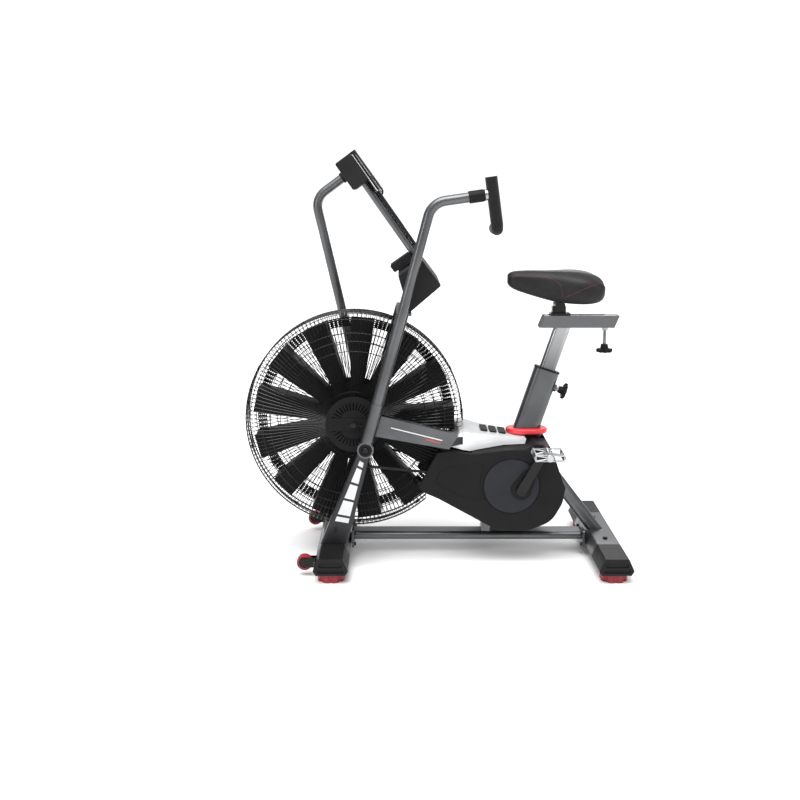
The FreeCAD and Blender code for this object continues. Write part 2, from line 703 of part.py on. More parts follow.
node(group("step_pads_group", pads), "step_pads")
node(seat_collar(), "seat_collar")
node(collar_base(), "collar_base")

# ---------------------------------------------------------------- fan, cage and belt drive

fan_centre = (size("fan_x"), 0, size("fan_z"))
crank_centre = (size("crank_x"), 0, size("crank_z"))


def facing(side):
    """Turn that points a body's +Z out of the bike, to the left or to the right."""
    return Rotation(along_x, 90 if side < 0 else -90)


def cage_profile(wall):
    """Half section of a cage shell, from its hub flange to its rim."""
    rim, half, shoulder = size("cage_radius"), size("cage_half"), size("cage_shoulder")
    outer = [(70, half), (250, half), (342, shoulder + 6), (rim, shoulder - 22), (rim, 0.5)]
    inner = [(rim - wall, 0.5), (rim - wall, shoulder - 24), (340, shoulder + 3),
             (249, half - wall), (70, half - wall)]
    return outer + inner


def slot_band(body, inner, outer, turn_gap):
    """One window of a ring of windows, cut through the shell along the fan's axis."""
    half_turn = math.radians(turn_gap / 2)
    sketch = new_sketch(body, "XY_Plane", offset=14)
    points = [(radius * math.cos(angle), radius * math.sin(angle))
              for radius, angle in ((inner, -half_turn), (outer, -half_turn),
                                    (outer, half_turn), (inner, half_turn))]
    outline(sketch, points)
    return feature(body, "Pocket", sketch, 150, reverse=True)


def cage(side):
    """Wire cage half as a ribbed shell; it is notched where the drive shroud enters."""
    name = side_name(side) + "_cage"
    body = new_body(name + "_body", fan_centre, facing(side))
    section = new_sketch(body, "XZ_Plane")
    outline(section, cage_profile(size("cage_wire")))
    revolve(body, section)
    pitch = 360 / 40
    inner_window = slot_band(body, 112, 236, pitch * 0.62)
    polar(body, [inner_window], 40)
    outer_window = slot_band(body, 243, 380, pitch * 0.72)
    polar(body, [outer_window], 40)
    return body


def cage_notch():
    body = new_body("cage_notch")
    sketch = new_sketch(body, "XZ_Plane")
    outline(sketch, [(-70, 252), (20, 190), (180, 190), (180, 466), (30, 466), (30, 408)])
    feature(body, "Pad", sketch, 300, symmetric=True)
    return body


def hub_cover(side):
    """Round vent cover on the cage's middle, with two arcs of slots and a raised clamp."""
    body = new_body(f"hub_cover_{side_name(side)}", fan_centre, facing(side))
    disc = new_sketch(body, "XY_Plane", offset=size("cage_half"))
    circle(disc, "hub_radius")
    disc.addGeometry(Part.Circle(Vector(), along_z, size("fan_axle_radius") + 0.05))
    feature(body, "Pad", disc, 7)
    vent = new_sketch(body, "XY_Plane", offset=size("cage_half"))
    box_outline(vent, 26, 4, x=62)
    window = feature(body, "Pocket", vent, 10, reverse=True)
    polar(body, [window], 36)
    bridge = new_sketch(body, "XY_Plane", offset=size("cage_half") + 7)
    box_outline(bridge, 168, 44, radius=6)
    bridge.addGeometry(Part.Circle(Vector(), along_z, size("fan_axle_radius") + 0.05))
    body.Tip = feature(body, "Pad", bridge, 3)
    return body


def blade_outline(wall):
    """Wedge of one fan blade box between its root and its tip radius."""
    root, tip = size("fan_root") + wall, size("fan_radius") + (10 if wall else 0)
    taper = (size("blade_tip_width") - size("blade_root_width")) / (size("fan_radius") - size("fan_root"))
    root_half = size("blade_root_width") / 2 - wall + taper * wall / 2
    tip_half = size("blade_tip_width") / 2 - wall + (taper * 5 if wall else 0)
    return [(root, -root_half), (tip, -tip_half), (tip, tip_half), (root, root_half)]


def fan_blades():
    """Folded wedge boxes round the hub; each box has two blades. A back ring ties them."""
    body = new_body("blades_body", fan_centre, facing(-1))
    skin = new_sketch(body, "XY_Plane")
    outline(skin, blade_outline(0))
    feature(body, "Pad", skin, "sizes.fan_depth", symmetric=True)
    hollow = new_sketch(body, "XY_Plane")
    outline(hollow, blade_outline(size("blade_sheet")))
    feature(body, "Pocket", hollow, "sizes.fan_depth - 2 * sizes.blade_sheet", symmetric=True)
    step = 360 / size("blade_count")
    blades = []
    for i in range(int(size("blade_count"))):
        blade = doc.addObject("Part::Feature", f"blade_{i}")
        blade.Shape = body.Shape.copy()
        blade.Placement = Placement(Vector(*fan_centre),
                                    Rotation(along_y, size("first_blade") + i * step) * facing(-1))
        blades.append(blade)
    ring = new_body("fan_ring", fan_centre, facing(1))
    ring_sketch = new_sketch(ring, "XY_Plane", offset=size("fan_depth") / 2)
    circle(ring_sketch, "fan_radius")
    ring_sketch.addGeometry(Part.Circle(Vector(), along_z, 309))
    feature(ring, "Pad", ring_sketch, 2)
    return group("blades_group", blades + [ring])


def fan_hub():
    """Spool that carries the blades: a barrel and two discs over the blade roots."""
    body = new_body("hub_body", (size("fan_x"), 0, size("fan_z")), facing(-1))
    half = size("fan_depth") / 2
    section = new_sketch(body, "XZ_Plane")
    bore = size("fan_axle_radius") + 0.06
    outline(section, [(bore, -66), (30, -66), (30, -half - 2.2), (132, -half - 2.2),
                      (132, -half - 0.2), (34, -half - 0.2), (34, half + 0.2), (132, half + 0.2),
                      (132, half + 2.2), (30, half + 2.2), (30, 66), (bore, 66)])
    revolve(body, section)
    return body


def belt_loop(name, grow, width):
    """Racetrack prism round the fan pulley and the crank pulley, grown outwards."""
    small, large = size("fan_pulley_radius") + grow, size("crank_pulley_radius") + grow
    start, end = Vector(size("fan_x"), size("fan_z"), 0), Vector(size("crank_x"), size("crank_z"), 0)
    run = end - start
    heading = math.atan2(run.y, run.x)
    spread = math.acos((small - large) / run.Length)
    body = new_body(name, (0, size("belt_y"), 0))
    sketch = new_sketch(body, "XZ_Plane")

    def around(centre, radius, angle):
        return centre + Vector(math.cos(angle), math.sin(angle), 0) * radius

    upper, lower = heading + spread, heading - spread
    sketch.addGeometry(Part.LineSegment(around(start, small, lower), around(end, large, lower)))
    sketch.addGeometry(Part.Arc(around(end, large, lower), around(end, large, heading),
                                around(end, large, upper)))
    sketch.addGeometry(Part.LineSegment(around(end, large, upper), around(start, small, upper)))
    sketch.addGeometry(Part.Arc(around(start, small, upper),
                                around(start, small, heading + math.pi),
                                around(start, small, lower)))
    for i in range(4):
        sketch.addConstraint(Sketcher.Constraint("Coincident", i, 2, (i + 1) % 4, 1))
    feature(body, "Pad", sketch, width, symmetric=True)
    return body


def pulley(name, centre, radius, bore):
    """Flanged belt pulley on the +Y side of the fan."""
    body = new_body(name, (centre[0], size("belt_y"), centre[2]), facing(1))
    half = size("belt_width") / 2 + 0.6
    section = new_sketch(body, "XZ_Plane")
    outline(section, [(bore, -half - 1.6), (radius + 6, -half - 1.6), (radius + 6, -half),
                      (radius, -half), (radius, half), (radius + 6, half),
                      (radius + 6, half + 1.6), (bore, half + 1.6)])
    revolve(body, section)
    return body


notch = cage_notch()
node(cut("left_cage_cut", cage(-1), notch), "left_cage")
node(cut("right_cage_cut", cage(1), notch), "right_cage")
node(group("hub_covers_group", [hub_cover(-1), hub_cover(1)]), "hub_covers")
axle_half = size("cage_half") + 18
node(tube("fan_axle_body", "fan_axle_radius", None, 2 * axle_half,
          (size("fan_x"), axle_half, size("fan_z")), facing(-1)), "fan_axle")
node(fan_blades(), "fan_blades")
node(fan_hub(), "fan_hub")
node(pulley("fan_pulley_body", fan_centre, size("fan_pulley_radius"),
            size("fan_axle_radius") + 0.06), "fan_pulley")
node(cut("belt_cut", belt_loop("belt_outer", fit + size("belt_thick"), size("belt_width")),
         belt_loop("belt_inner", fit, size("belt_width") + 2)), "drive_belt")

# ---------------------------------------------------------------- cranks and pedals


def crank_offset(side):
    """From the crank axle to a pedal axle, in X and Z."""
    lean = math.radians(size("crank_lean"))
    turn = 1 if side < 0 else -1
    return (turn * size("crank_length") * math.sin(lean),
            turn * size("crank_length") * math.cos(lean))


def crank_arm(side):
    name = side_name(side) + "_crank"
    body = new_body(name + "_body", (size("crank_x"), side * size("crank_inner"),
                                     size("crank_z")),
                    tilt(size("crank_lean") + (0 if side < 0 else 180)))
    long = size("crank_length")
    arm = new_sketch(body, "XZ_Plane")
    outline(arm, [(-19, -19, 18), (19, -19, 18), (13, long + 14, 12), (-13, long + 14, 12)])
    feature(body, "Pad", arm, "sizes.crank_thick", reverse=side > 0)
    rim = edges_where(body, lambda edge: all(
        abs(abs(vertex.Point.y) - size("crank_inner") - size("crank_thick")) < 0.5
        for vertex in edge.Vertexes))
    dress(body, "Fillet", rim, 3.5)
    hole = new_sketch(body, "XZ_Plane")
    circle(hole, "crank_axle_radius")
    feature(body, "Pocket", hole, 60, symmetric=True)
    return node(fuse(name + "_joined", [body, spindle(side)]), name)


def pedal(side):
    """Cage pedal: a barrel on its spindle, two end plates and two tread bars."""
    name = side_name(side) + "_pedal"
    dx, dz = crank_offset(side)
    centre = (size("crank_x") + dx, side * size("pedal_inner"), size("crank_z") + dz)
    wide, long, thick = size("pedal_width"), size("pedal_length"), size("pedal_thick")
    body = new_body(name + "_body", centre, facing(side))
    barrel = new_sketch(body, "XY_Plane")
    barrel.addGeometry(Part.Circle(Vector(), along_z, 13))
    barrel.addGeometry(Part.Circle(Vector(), along_z, 5.08))
    feature(body, "Pad", barrel, wide)
    for start in (6, wide - 9):
        plate = new_sketch(body, "XY_Plane", offset=start)
        outline(plate, [(-long / 2, -thick / 2, 4), (long / 2, -thick / 2, 4),
                        (long / 2 + 4, 0, 3), (long / 2, thick / 2, 4),
                        (-long / 2, thick / 2, 4), (-long / 2 - 4, 0, 3)])
        plate.addGeometry(Part.Circle(Vector(), along_z, 5.08))
        feature(body, "Pad", plate, 3)
    for end in (-1, 1):
        bar = new_sketch(body, "XY_Plane", offset=6)
        box_outline(bar, 3, thick, x=end * (long / 2 - 1.5))
        feature(body, "Pad", bar, wide - 12)
    return node(body, name)


def crank_axle():
    """Axle with the two round throws that the handle rods are driven by."""
    half = size("crank_inner") + size("crank_thick") - 2
    parts = [tube("crank_axle_body", "crank_axle_radius", None, 2 * half,
                  (size("crank_x"), half, size("crank_z")), facing(-1))]
    for side in (-1, 1):
        centre = (size("crank_x") + side * size("throw"), side * (size("rod_y") - 5),
                  size("crank_z"))
        parts.append(cylinder(f"throw_{side_name(side)}", size("throw_radius"), 10, centre,
                              along_y * side))
    return fuse("crank_axle_joined", parts)


def spindle(side):
    """Pedal spindle, screwed into the end of the crank arm."""
    dx, dz = crank_offset(side)
    start = size("crank_inner") + size("crank_thick") - 1
    return cylinder(f"spindle_{side_name(side)}", 5,
                    size("pedal_inner") + size("pedal_width") - start - 4,
                    (size("crank_x") + dx, side * start, size("crank_z") + dz), along_y * side)


node(crank_axle(), "crank_axle")
crank_arm(-1)
crank_arm(1)
node(pulley("crank_pulley_body", crank_centre, size("crank_pulley_radius"),
            size("crank_axle_radius")), "crank_pulley")
pedal(-1)
pedal(1)

# ---------------------------------------------------------------- handle arms and rods


def lean_of(side):
    return size("left_lean") if side < 0 else size("right_lean")


def pivot_at(side, y=0.0):
    return Vector(size("pivot_x"), y, size("pivot_z"))


def handle(side):
    """Arm of bent tube with a sleeve, its pivot boss and shaft, and a lever inboard."""
    name = side_name(side) + "_handle"
    turn = tilt(lean_of(side))
    body = new_body(name + "_body", pivot_at(side, side * size("handle_y")), turn)
    path = new_sketch(body, "XZ_Plane")
    straight, bend = size("arm_straight"), size("bend_radius")
    angle = math.radians(size("bend_angle"))
    arc_mid = Vector(bend * (1 - math.cos(angle / 2)), straight + bend * math.sin(angle / 2), 0)
    arc_end = Vector(bend * (1 - math.cos(angle)), straight + bend * math.sin(angle), 0)
    tip = arc_end + Vector(math.sin(angle), math.cos(angle), 0) * size("arm_end")
    foot = Vector(0, 20, 0)
    knee = Vector(0, straight, 0)
    path.addGeometry(Part.LineSegment(foot, knee))
    path.addGeometry(Part.Arc(knee, arc_mid, arc_end))
    path.addGeometry(Part.LineSegment(arc_end, tip))
    ring = new_sketch(body, "XY_Plane", offset=20)
    circle(ring, "handle_radius")
    circle(ring, "handle_bore")
    pipe = body.newObject("PartDesign::AdditivePipe", name + "_pipe")
    pipe.Profile = ring
    pipe.Spine = path
    doc.recompute()
    centre_y = side * size("handle_y")
    sleeve_low = pivot_at(side, centre_y) + turn.multVec(Vector(0, 0, 16))
    sleeve = cylinder(name + "_sleeve", size("sleeve_radius"), 140, sleeve_low,
                      turn.multVec(along_z))
    boss = cylinder(name + "_boss", 27, 34, pivot_at(side, side * (size("handle_y") - 17)),
                    along_y * side)
    return node(fuse(name + "_joined", [body, sleeve, boss] + lever_parts(side)), name)


def lever_parts(side):
    """Pivot shaft through the upright, and the lever on its inboard end."""
    name = side_name(side) + "_lever"
    body = new_body(name + "_body", pivot_at(side, side * size("lever_y")), tilt(lean_of(side)))
    plate = new_sketch(body, "XZ_Plane")
    long = size("lever_length")
    outline(plate, [(-18, 18, 16), (-12, -long - 12, 11), (12, -long - 12, 11), (18, 18, 16)])
    hole = Part.Circle(Vector(0, -long, 0), along_z, 5.08)
    plate.addGeometry(hole)
    feature(body, "Pad", plate, "sizes.lever_thick", symmetric=True)
    shaft = cylinder(name + "_shaft", size("pivot_shaft"), size("handle_y") - size("lever_y"),
                     pivot_at(side, side * size("lever_y")), along_y * side)
    return [body, shaft]


def grip_point(side, up, along):
    """Point on the grip: up across the arm's end direction, along it from the arm's tip."""
    angle = size("bend_angle")
    straight, bend = size("arm_straight"), size("bend_radius")
    radians = math.radians(angle)
    end_x = bend * (1 - math.cos(radians)) + (size("arm_end") + along) * math.sin(radians)
    end_z = straight + bend * math.sin(radians) + (size("arm_end") + along) * math.cos(radians)
    local = Vector(end_x - up * math.cos(radians), 0, end_z + up * math.sin(radians))
    return pivot_at(side, side * size("handle_y")) + tilt(lean_of(side)).multVec(local)


def grip(side):
    """Foam grip that hangs from the arm's tip and turns inwards at its lower end."""
    name = side_name(side) + "_grip"
    reach = size("grip_radius") - 3
    top = grip_point(side, size("grip_up"), reach)
    corner = grip_point(side, -size("grip_down"), reach)
    inward = corner + Vector(0, -side * size("grip_inward"), 0)
    down = (corner - top).normalize()
    bend = size("grip_bend")
    arc_start = corner - down * bend
    arc_end = corner + Vector(0, -side * bend, 0)
    centre = arc_start + Vector(0, -side * bend, 0)
    arc_middle = centre + ((corner - centre).normalize() * bend)
    path = Part.Wire([Part.LineSegment(top, arc_start).toShape(),
                      Part.Arc(arc_start, arc_middle, arc_end).toShape(),
                      Part.LineSegment(arc_end, inward).toShape()])
    ring = Part.Wire([Part.Circle(top, down, size("grip_radius")).toShape()])
    foam = doc.addObject("Part::Feature", name + "_foam")
    foam.Shape = path.makePipeShell([ring], True, True)
    angle = size("bend_angle") + lean_of(side)
    collar_low = grip_point(side, 0, -60)
    direction = Vector(math.sin(math.radians(angle)), 0, math.cos(math.radians(angle)))
    clamp = cylinder(name + "_clamp", size("sleeve_radius"), 62, collar_low, direction)
    stub = cylinder(name + "_stub", 12, 26, collar_low + direction * 50, direction)
    joined = fuse(name + "_joined", [foam, clamp, stub])
    tip = grip_point(side, 0, 0)
    arm_room = cylinder(name + "_room", size("handle_radius"), 60.2, tip - direction * 60.2,
                        direction)
    return node(cut(name + "_cut", joined, arm_room), name)


def rod(side):
    """Push rod from a lever's pin back to the crank's throw, which it stops short of."""
    name = side_name(side) + "_rod"
    lean = math.radians(lean_of(side))
    slope = math.radians(size("rod_slope"))
    start = Vector(size("pivot_x") - size("lever_length") * math.sin(lean), side * size("rod_y"),
                   size("pivot_z") - size("lever_length") * math.cos(lean))
    direction = Vector(math.cos(slope), 0, -math.sin(slope))
    bar = cylinder(name + "_bar", size("rod_radius"), size("rod_length"), start, direction)
    eye = cylinder(name + "_eye", 11, 10, start - along_y * 5, along_y)
    sleeve = cylinder(name + "_sleeve", 8, 40, start + direction * (size("rod_length") - 38),
                      direction)
    pin = cylinder(name + "_pin", 5, size("lever_y") + size("lever_thick") / 2 - size("rod_y"),
                   start, along_y * side)
    return node(fuse(name + "_joined", [bar, eye, sleeve, pin]), name)


for side in (-1, 1):
    handle(side)
    grip(side)
    rod(side)

# ---------------------------------------------------------------- seat post, rail and saddle


def seat_bush():
    """Black lip and sleeve in the top of the seat tube that guides the post."""
    top = size("seat_tube_top")
    body = new_body("bush_body", seat_point(0, top), tilt(size("seat_lean")))
    lip = new_sketch(body, "XY_Plane")
    box_outline(lip, size("seat_tube_long") + 2, size("seat_tube_wide") + 2, radius=23)
    feature(body, "Pad", lip, 5)
    sleeve = new_sketch(body, "XY_Plane")
    box_outline(sleeve, size("seat_tube_long") - 6.4, size("seat_tube_wide") - 6.4, radius=18.8)
    feature(body, "Pad", sleeve, 45, reverse=True)
    bore = new_sketch(body, "XY_Plane", offset=-50)
    box_outline(bore, size("post_long") + 0.6, size("post_wide") + 0.6, radius=13.3)
    feature(body, "Pocket", bore, 60, reverse=True)
    return body


def seat_post():
    """Flat oval post with a row of holes for the pop pin, and a head plate under the rail."""
    body = new_body("post_body", seat_point(0, 0), tilt(size("seat_lean")))
    skin = new_sketch(body, "XY_Plane", offset=size("post_down") - 90)
    box_outline(skin, size("post_long"), size("post_wide"), radius=13)
    feature(body, "Pad", skin, size("post_up") - size("post_down") + 110)
    bore = new_sketch(body, "XY_Plane", offset=size("post_down") - 90)
    box_outline(bore, size("post_long") - 6, size("post_wide") - 6, radius=10)
    feature(body, "Pocket", bore, size("post_up"), reverse=True)
    above = block("above_post", (300, -60, size("saddle_rail_base")), (600, 60, 1000))
    axis = tilt(size("seat_lean")).multVec(along_x)
    holes = [cylinder(f"post_hole_{i}", size("pin_radius") + 0.4, 20, seat_point(15, along), axis)
             for i, along in enumerate(range(80, 300, 25))]
    return cut("post_trimmed", body, fuse("post_tools", [above] + holes))


def saddle_rail():
    """Box rail with raked ends and a slot along its top, with two end caps."""
    low, high = size("saddle_rail_base"), size("saddle_rail_base") + size("saddle_rail_tall")
    front, long, rake = size("saddle_rail_front"), size("saddle_rail_length"), 17
    half = size("saddle_rail_wide") / 2
    body = new_body("saddle_rail_body")
    skin = new_sketch(body, "XZ_Plane")
    outline(skin, [(front - rake + 3, low, 2), (front + long - rake - 3, low, 2),
                   (front + long - 3, high, 2), (front + 3, high, 2)])
    feature(body, "Pad", skin, "sizes.saddle_rail_wide", symmetric=True)
    hollow = new_sketch(body, "YZ_Plane", offset=front - 40)
    box_outline(hollow, 2 * half - 6, high - low - 6, y=(low + high) / 2, radius=2)
    feature(body, "Pocket", hollow, long + 80, reverse=True)
    slot = new_sketch(body, "XY_Plane", offset=high - 8)
    box_outline(slot, 196, size("saddle_slot"), x=front + 112, radius=12)
    feature(body, "Pocket", slot, 20, reverse=True)
    screw_hole = new_sketch(body, "XY_Plane", offset=low - 5)
    screw_hole.addGeometry(Part.Circle(Vector(size("knob_x"), 0, 0), along_z, 6.08))
    feature(body, "Pocket", screw_hole, 10, reverse=True)
    caps = []
    for end, x in ((-1, front), (1, front + long)):
        cap = new_body(f"rail_cap_{end + 1}")
        shape = new_sketch(cap, "XZ_Plane")
        inner = x - end * 2.8
        outline(shape, [(inner - rake, low, 0), (inner - rake + end * 3, low, 0),
                        (inner + end * 3, high, 0), (inner, high, 0)][::end])
        feature(cap, "Pad", shape, "sizes.saddle_rail_wide", symmetric=True)
        caps.append(cap)
    return group("saddle_rail_group", [body] + caps)


def saddle_clamp():
    """Carriage in the rail's slot with the clamp block that holds the saddle."""
    top = size("saddle_rail_base") + size("saddle_rail_tall")
    base = block("carriage_plate", (392, -28, top - 3 - 6.3), (466, 28, top - 3 - 0.3))
    neck = block("carriage_neck", (398, -12.5, top - 4), (458, 12.5, top + 1))
    seat = block("carriage_top", (396, -26, top + 0.4), (462, 26, top + 8))
    post = block("carriage_post", (402, -14, top + 7), (448, 14, top + 30))
    yoke = cylinder("clamp_yoke", 17, 64, (426, -32, top + 33), along_y)
    joined = fuse("clamp_joined", [base, neck, seat, post, yoke])
    return joined


def saddle():
    """Plain closed saddle: side shape and plan shape in common."""
    side_body = new_body("saddle_side")
    side_view = new_sketch(side_body, "XZ_Plane")
    outline(side_view, [(247, 946, 8), (402, 897, 20), (418, 894, 8), (430, 894, 8),
                        (500, 884, 30), (556, 890, 25), (575, 930, 25), (548, 985, 40),
                        (450, 999, 60), (270, 992, 30), (246, 968, 12)])
    feature(side_body, "Pad", side_view, 300, symmetric=True)
    plan_body = new_body("saddle_plan")
    plan = new_sketch(plan_body, "XY_Plane", offset=850)
    wide = size("saddle_width") / 2
    outline(plan, [(244, -33, 30), (370, -38, 60), (440, -wide, 60), (574, -wide, 70),
                   (582, 0, 60), (574, wide, 70), (440, wide, 60), (370, 38, 60), (244, 33, 30)])
    feature(plan_body, "Pad", plan, 200)
    return common("saddle_common", [side_body, plan_body])


def post_knob():
    """Pop pin: a knob on the spring pin that locks the post; it is drawn clear of the post."""
    axis = tilt(size("seat_lean")).multVec(along_x)
    half_tube = size("seat_tube_long") / 2
    knob = new_body("post_knob_body", seat_point(half_tube + 24, size("pin_along")),
                    Rotation(along_z, axis))
    section = new_sketch(knob, "XZ_Plane")
    outline(section, [(0, -16), (8, -16), (8, -1), (14, 0), (size("knob_radius"), 6, 3),
                      (size("knob_radius"), 16, 3), (18, 22, 3), (0, 24)])
    revolve(knob, section)
    inner = size("post_long") / 2 + fit
    pin = cylinder("pop_pin", size("pin_radius"), half_tube + 12 - inner,
                   seat_point(inner, size("pin_along")), axis)
    return fuse("post_knob_joined", [knob, pin])


def rail_knob():
    """Lobed hand knob under the saddle rail, on a plated screw."""
    z = 712
    body = new_body("rail_knob_body", (size("knob_x"), 0, z))
    disc = new_sketch(body, "XY_Plane")
    circle(disc, "knob_radius")
    feature(body, "Pad", disc, 16)
    gap = new_sketch(body, "XY_Plane")
    gap.addGeometry(Part.Circle(Vector(size("knob_radius") + 4, 0, 0), along_z, 8))
    notch_cut = feature(body, "Pocket", gap, 16, reverse=True)
    polar(body, [notch_cut], 8)
    hub = new_sketch(body, "XY_Plane", offset=15.8)
    hub.addGeometry(Part.Circle(Vector(), along_z, 15))
    body.Tip = feature(body, "Pad", hub, 20)
    screw = new_sketch(body, "XY_Plane", offset=35.6)
    screw.addGeometry(Part.Circle(Vector(), along_z, 6))
    body.Tip = feature(body, "Pad", screw, 72)
    return body


node(seat_bush(), "seat_bush")
node(seat_post(), "seat_post")
node(saddle_rail(), "saddle_rail")
node(saddle_clamp(), "saddle_clamp")
node(saddle(), "saddle")
node(post_knob(), "post_knob")
node(rail_knob(), "rail_knob")

# ---------------------------------------------------------------- mast and console


def mast_point(along, across=0.0, y=0.0):
    """Point along the leaning mast from its foot; across is towards the rider."""
    local = tilt(size("mast_lean")).multVec(Vector(across, y, along))
    return (-6 + local.x, local.y, 963 + local.z)


def mast():
    """Console mast on a cross plate that ties the tops of the two uprights."""
    body = tube("mast_body", "mast_radius", None, 392, mast_point(0), tilt(size("mast_lean")))
    plate = block("mast_plate", (-128, -176, 858.3), (-78, 176, 866))
    gusset = new_body("mast_gusset")
    shape = new_sketch(gusset, "XZ_Plane")
    outline(shape, [(-118, 865), (-90, 865), (-90, 876), (2, 954), (-44, 1012)])
    feature(gusset, "Pad", shape, 22, symmetric=True)
    return fuse("mast_joined", [body, plate, gusset])


def mast_strip():
    """Cable cover along the rider's side of the mast."""
    body = new_body("strip_cover", mast_point(106, size("mast_radius") + 6.3),
                    tilt(size("mast_lean")))
    shape = new_sketch(body, "XY_Plane")
    box_outline(shape, 12, 24, radius=4)
    feature(body, "Pad", shape, 240)
    return body


def mast_block():
    """Rounded bar across the front of the mast."""
    body = new_body("block_body", mast_point(108, -size("mast_radius") - 38.4), tilt(size("mast_lean")))
    shape = new_sketch(body, "XZ_Plane")
    box_outline(shape, 76, 28, radius=6)
    feature(body, "Pad", shape, 86, symmetric=True)
    return body


def mast_cover():
    """Moulded cover over the mast's foot and the cross plate."""
    points = [(-86, 869, 6), (18, 958, 6), (-46, 1042, 6), (-122, 990, 8)]
    body = new_body("cover_body")
    skin = new_sketch(body, "XZ_Plane")
    outline(skin, points)
    feature(body, "Pad", skin, "2 * sizes.cover_half", symmetric=True)
    rim = edges_where(body, lambda edge: all(
        abs(abs(vertex.Point.y) - size("cover_half")) < 1 for vertex in edge.Vertexes))
    dress(body, "Fillet", rim, 3)
    hollow = new_sketch(body, "XZ_Plane")
    outline(hollow, inset(points, 3))
    feature(body, "Pocket", hollow, "2 * sizes.cover_half - 6", symmetric=True)
    mast_room = cylinder("mast_room", size("mast_radius") + 0.3, 500, mast_point(-60),
                         tilt(size("mast_lean")).multVec(along_z))
    foot_room = block("cover_foot_room", (-150, -176.5, 850), (-70, 176.5, 884))
    gusset_room = block("gusset_room", (-125, -11.5, 860), (-86, 11.5, 914))
    return cut("cover_cut", body, fuse("cover_rooms", [mast_room, foot_room, gusset_room]))


def console_place(out, up, y=0.0):
    """Point on the console: out towards the rider, up along its face."""
    local = tilt(size("console_lean")).multVec(Vector(out, y, up))
    return (size("console_x") + local.x, local.y, size("console_z") + local.z)


def console_housing():
    thick, tall, wide = size("console_thick"), size("console_tall"), size("console_wide")
    body = new_body("console_body", console_place(0, 0), tilt(size("console_lean")))
    skin = new_sketch(body, "XZ_Plane")
    box_outline(skin, thick, tall, radius=7)
    feature(body, "Pad", skin, "sizes.console_wide", symmetric=True)
    rim = edges_where(body, lambda edge: all(
        abs(abs(vertex.Point.y) - wide / 2) < 0.5 for vertex in edge.Vertexes))
    dress(body, "Fillet", rim, 4)
    window = new_sketch(body, "YZ_Plane", offset=thick / 2)
    box_outline(window, 168, 62, y=12, radius=5)
    feature(body, "Pocket", window, 4)
    for y in (-34, 34):
        hole = new_sketch(body, "YZ_Plane", offset=thick / 2)
        hole.addGeometry(Part.Circle(Vector(y, -34, 0), along_z, size("button_radius") + fit))
        feature(body, "Pocket", hole, 6)
    mast_room = cylinder("console_mast_room", size("mast_radius") + 0.05, 400, mast_point(0),
                         tilt(size("mast_lean")).multVec(along_z))
    return cut("console_cut", body, mast_room)


def console_screen():
    body = new_body("screen_body", console_place(size("console_thick") / 2 - 3.8, 12),
                    tilt(size("console_lean")))
    glass = new_sketch(body, "YZ_Plane")
    box_outline(glass, 167, 61, radius=4.6)
    feature(body, "Pad", glass, 3)
    return body


def button(name, y):
    body = new_body(name + "_body", console_place(size("console_thick") / 2 - 3.5, -34, y),
                    tilt(size("console_lean")) * Rotation(along_y, 90))
    cap = new_sketch(body, "XY_Plane")
    circle(cap, "button_radius")
    feature(body, "Pad", cap, 5.5)
    return node(body, name)


node(mast(), "mast")
node(mast_strip(), "mast_strip")
node(mast_block(), "mast_block")
node(mast_cover(), "mast_cover")
node(console_housing(), "console_housing")
node(console_screen(), "console_screen")
button("start_button", -34)
button("mode_button", 34)


def frame_bolts():
    """Cap screws: rail brackets to the stabilisers, and beams to the uprights."""
    heads = []
    for x, sign in ((-275.2, 1), (521.8, -1)):
        for y in (-46, 46):
            for z in (42, 80):
                heads.append(cylinder(f"bolt_{len(heads)}", 6.5, 6, (x, y, z), along_x * sign))
    for x in (size("rear_foot_x"),):
        for y in (-120, 120):
            heads.append(cylinder(f"bolt_{len(heads)}", 8, 5, (x, y, size("foot_top") + 0.1)))
    for side in (-1, 1):
        y = side * (size("upright_y") + size("upright_depth") / 2 + 0.1)
        heads.append(cylinder(f"bolt_{len(heads)}", 7, 4, (-332, y, 138), along_y * side))
    return group("bolts_group", heads)


node(frame_bolts(), "frame_bolts")

# ---------------------------------------------------------------- checks and export

doc.recompute()
broken = [thing.Label for thing in doc.Objects if {"Invalid", "Error"} & set(thing.State)]
broken += [thing.Label for thing in nodes if thing.Shape.isNull() or not thing.Shape.isValid()]
if broken:
    raise SystemExit(f"these objects failed: {', '.join(broken)}")
os.makedirs("parts", exist_ok=True)
for thing in nodes:
    thing.Shape.exportStep(f"parts/{thing.Label}.step")
    print(f"{thing.Label}: {len(thing.Shape.Solids)} solid(s), {thing.Shape.Volume / 1000:.1f} cm3")
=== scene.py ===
import math
import bmesh
import bpy
from mathutils import Euler, Matrix, Vector


